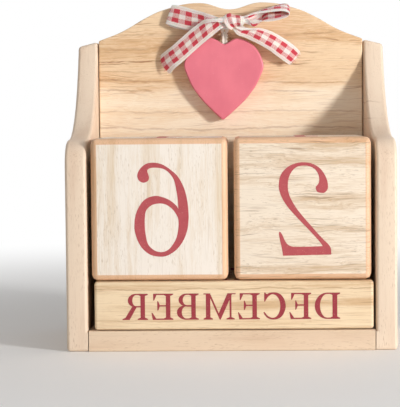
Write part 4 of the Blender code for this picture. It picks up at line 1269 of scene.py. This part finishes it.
painted_heart = dressed_copy("heart", heart_paint, "heart_painted")
pick(painted_heart)
bpy.ops.object.mode_set(mode="EDIT")
bpy.ops.mesh.select_all(action="SELECT")
bpy.ops.transform.rotate(value=HEART_TILT, orient_axis="Y", center_override=HANGING_POINT)
bpy.ops.object.mode_set(mode="OBJECT")

# %% [markdown]
# ## The twine
# The heart hangs on a short loop of jute twine, a little over a millimetre thick: three plies twisted
# together, with loose fibres standing off them. The loop goes from the heart's cleft over the tack and back.
# A texture alone would leave its outline smooth, so the plies and the fibres are modelled.

# %% Twine
TWINE_MIDDLE_X = -2.2
TWINE_DEPTH = 21.1
TACK_HEIGHT = 121.0
LEGS_PART = 118.2
TWINE_FOOT = 110.0
LEG_APART = 0.62
TOP_APART = 1.25
PLY_OFFSET = 0.33
PLY_RADIUS = 0.37
TWIST_LENGTH = 2.6
PLIES = 3
FIBRE_RADIUS = 0.12
FIBRES = 40
FIBRE_LENGTHS = (0.7, 2.4)
FIBRES_FROM = 0.20
FIBRES_TO = 0.34
TWINE_SURFACE = 0.35


def twine_path(step=0.12):
    """Points along the middle of the twine, up one leg, over the tack and down the other."""
    leg = []
    count = round((TACK_HEIGHT - TWINE_FOOT) / step)
    for number in range(count):
        z = TWINE_FOOT + (TACK_HEIGHT - TWINE_FOOT) * number / count
        rise = smooth_step((z - LEGS_PART) / (TACK_HEIGHT - LEGS_PART))
        leg.append((LEG_APART + (TOP_APART - LEG_APART) * rise, z))
    turns = round(math.pi * TOP_APART / step)
    over = [(TOP_APART * math.cos(math.pi * number / turns), TACK_HEIGHT + TOP_APART * math.sin(
        math.pi * number / turns)) for number in range(turns + 1)]
    outline = leg + over + [(-x, z) for x, z in reversed(leg)]
    return [Vector((TWINE_MIDDLE_X + x, TWINE_DEPTH, z)) for x, z in outline]


def tube(name, points, radius, sides=2):
    """A mesh tube along points given in millimetres."""
    curve = bpy.data.curves.new(name, "CURVE")
    curve.dimensions = "3D"
    curve.bevel_depth = radius * MM
    curve.bevel_resolution = sides
    curve.use_fill_caps = True
    spline = curve.splines.new("POLY")
    spline.points.add(len(points) - 1)
    for point, spot in zip(spline.points, points):
        point.co = (*(spot * MM), 1.0)
    item = bpy.data.objects.new(name, curve)
    bpy.context.scene.collection.objects.link(item)
    pick(item)
    bpy.ops.object.convert(target="MESH")
    return bpy.context.object


def yarn_material(name, dark, light):
    """Spun fibre: fine hairs that run along it, between two tones."""
    material, tree, shader = start_material(name, 0.9, Sheen_Weight=0.2, Sheen_Roughness=0.6)
    place = place_in_mm(tree, (0.0, 0.0, 0.0), ALONG_Z)
    hairs = stretched_noise(tree, place, 1.6, 0.10, 3.0, 0.7)
    tone = mix_colours(tree, ramp(tree, hairs, 0.3, 0.7), dark, light)
    surface(tree, shader, tone, None, hairs, 0.05 * MM)
    return material


# The twine's colour is partly its own pale cream and partly painted light: it is raised almost to white to
# make up for the lamp light that the bow shades off it.
jute = yarn_material("jute twine", colour(0.92, 0.83, 0.69), colour(1.0, 0.98, 0.92))
# The loose fibres' dark brown is partly the jute's own brown and partly painted shade: the shade at the
# twine's sides is painted into their colour.
shaded_loose_jute = yarn_material("loose jute fibres in painted shade", colour(0.32, 0.18, 0.09), colour(0.56, 0.37, 0.21))

path = twine_path()
travelled = [0.0]
for start, end in zip(path, path[1:]):
    travelled.append(travelled[-1] + (end - start).length)
plies = []
for ply in range(PLIES):
    points = []
    for index, spot in enumerate(path):
        along = (path[min(index + 1, len(path) - 1)] - path[max(index - 1, 0)]).normalized()
        sideways = along.cross(Y_WAY)
        angle = math.tau * (travelled[index] / TWIST_LENGTH + ply / PLIES)
        points.append(spot + (sideways * math.cos(angle) + Y_WAY * math.sin(angle)) * PLY_OFFSET)
    plies.append(tube(f"ply {ply}", points, PLY_RADIUS))
twine = join(plies, "heart_twine")
chance = random.Random(7)
fibres = []
for number in range(FIBRES):
    first_leg = chance.randrange(round(FIBRES_FROM * len(path)), round(FIBRES_TO * len(path)))
    start = path[first_leg if number % 2 else len(path) - 1 - first_leg]
    side = -1.0 if start.x < TWINE_MIDDLE_X else 1.0
    away = Vector((side * chance.uniform(0.3, 1.0), chance.uniform(-0.7, 0.1), chance.uniform(-0.7, 0.4)))
    away.normalize()
    length = chance.uniform(*FIBRE_LENGTHS)
    droop = Vector((side * chance.uniform(-0.5, 0.4), 0.0, -chance.uniform(0.0, 0.7)))
    points = [start + away * (TWINE_SURFACE + length * part) + droop * part * part
              for part in (0.0, 0.35, 0.7, 1.0)]
    fibres.append(tube(f"fibre {number}", points, FIBRE_RADIUS, 0))
fibre_piece = join(fibres, "heart_twine_fibres")
for item, yarn in ((twine, jute), (fibre_piece, shaded_loose_jute)):
    paint(item, yarn)
    pick(item)
    bpy.ops.object.shade_smooth()
    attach(item, "hanging_heart")
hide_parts("heart_cord")
print("twine:", round(travelled[-1], 1), "mm long,", len(twine.data.polygons), "faces")

# %% [markdown]
# ### Cut ends
# The tails are cut with scissors, so a few warp threads stick out of each cut end, red in the red rows and
# white elsewhere. They are short bent tubes, because a ragged edge in the weave's colours alone
# would be flat.

# %% Cut ends
THREADS_PER_END = 18
THREAD_RADIUS = 0.055
THREAD_MARGIN = 0.4
THREAD_LENGTHS = (0.25, 0.9)
THREAD_HELD = 0.15
loose_threads = {"red": [], "white": []}
for stations, front in ((LEFT_TAIL, 1.0), (RIGHT_TAIL, -1.0)):
    end = len(stations) - 1
    for number in range(THREADS_PER_END):
        share = (number + chance.uniform(-0.3, 0.3)) / (THREADS_PER_END - 1)
        across = THREAD_MARGIN + (RIBBON_WIDTH - 2 * THREAD_MARGIN) * share
        start = laid_point(stations, end, across, front, RIBBON_WIDTH)
        away = (start - laid_point(stations, end - 0.05, across, front, RIBBON_WIDTH)).normalized()
        length = chance.uniform(*THREAD_LENGTHS)
        bend = Vector([chance.uniform(-0.3, 0.3) for way in range(3)]) * length
        thread = [start - away * THREAD_HELD, start + away * length * 0.5 + bend * 0.3,
                  start + away * length + bend]
        in_red = ROWS[0] < across < ROWS[1] or ROWS[2] < across < ROWS[3]
        loose_threads["red" if in_red else "white"].append(tube("loose thread", thread, THREAD_RADIUS, 0))
YARNS = {"red": yarn_material("loose red thread", colour(0.55, 0.03, 0.06), colour(0.76, 0.09, 0.14)),
         "white": yarn_material("loose white thread", colour(0.88, 0.78, 0.72), colour(0.97, 0.92, 0.87))}
for tone, threads in loose_threads.items():
    item = join(threads, f"bow_loose_threads_{tone}")
    paint(item, YARNS[tone])
    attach(item, "case")
    print(item.name, len(threads), "threads")

# %% [markdown]
# ## Nails and tack
# The case is held by brad nails, and the twine by a tack. They are bright drawn steel, whose fine lines run
# round the shank and give a streaked gloss.

# %% Steel
steel, tree, shader = start_material("bright steel", 0.3, Metallic=1.0)
place = place_in_mm(tree, (0.0, 0.0, 0.0))
drawn = stretched_noise(tree, place, 0.15, 0.6, 3.0)
bright = mix_colours(tree, drawn, colour(0.55, 0.54, 0.52), colour(0.72, 0.71, 0.69))
surface(tree, shader, bright, ramp(tree, drawn, 0.3, 0.7, 0.22, 0.42), drawn, 0.01 * MM)
metal_nodes = [name for name in frame["nodes"] if name.startswith("nail_") or name == "hanging_tack"]
for name in metal_nodes:
    dressed_copy(name, steel, name + "_steel")
print("steel pieces:", len(metal_nodes))
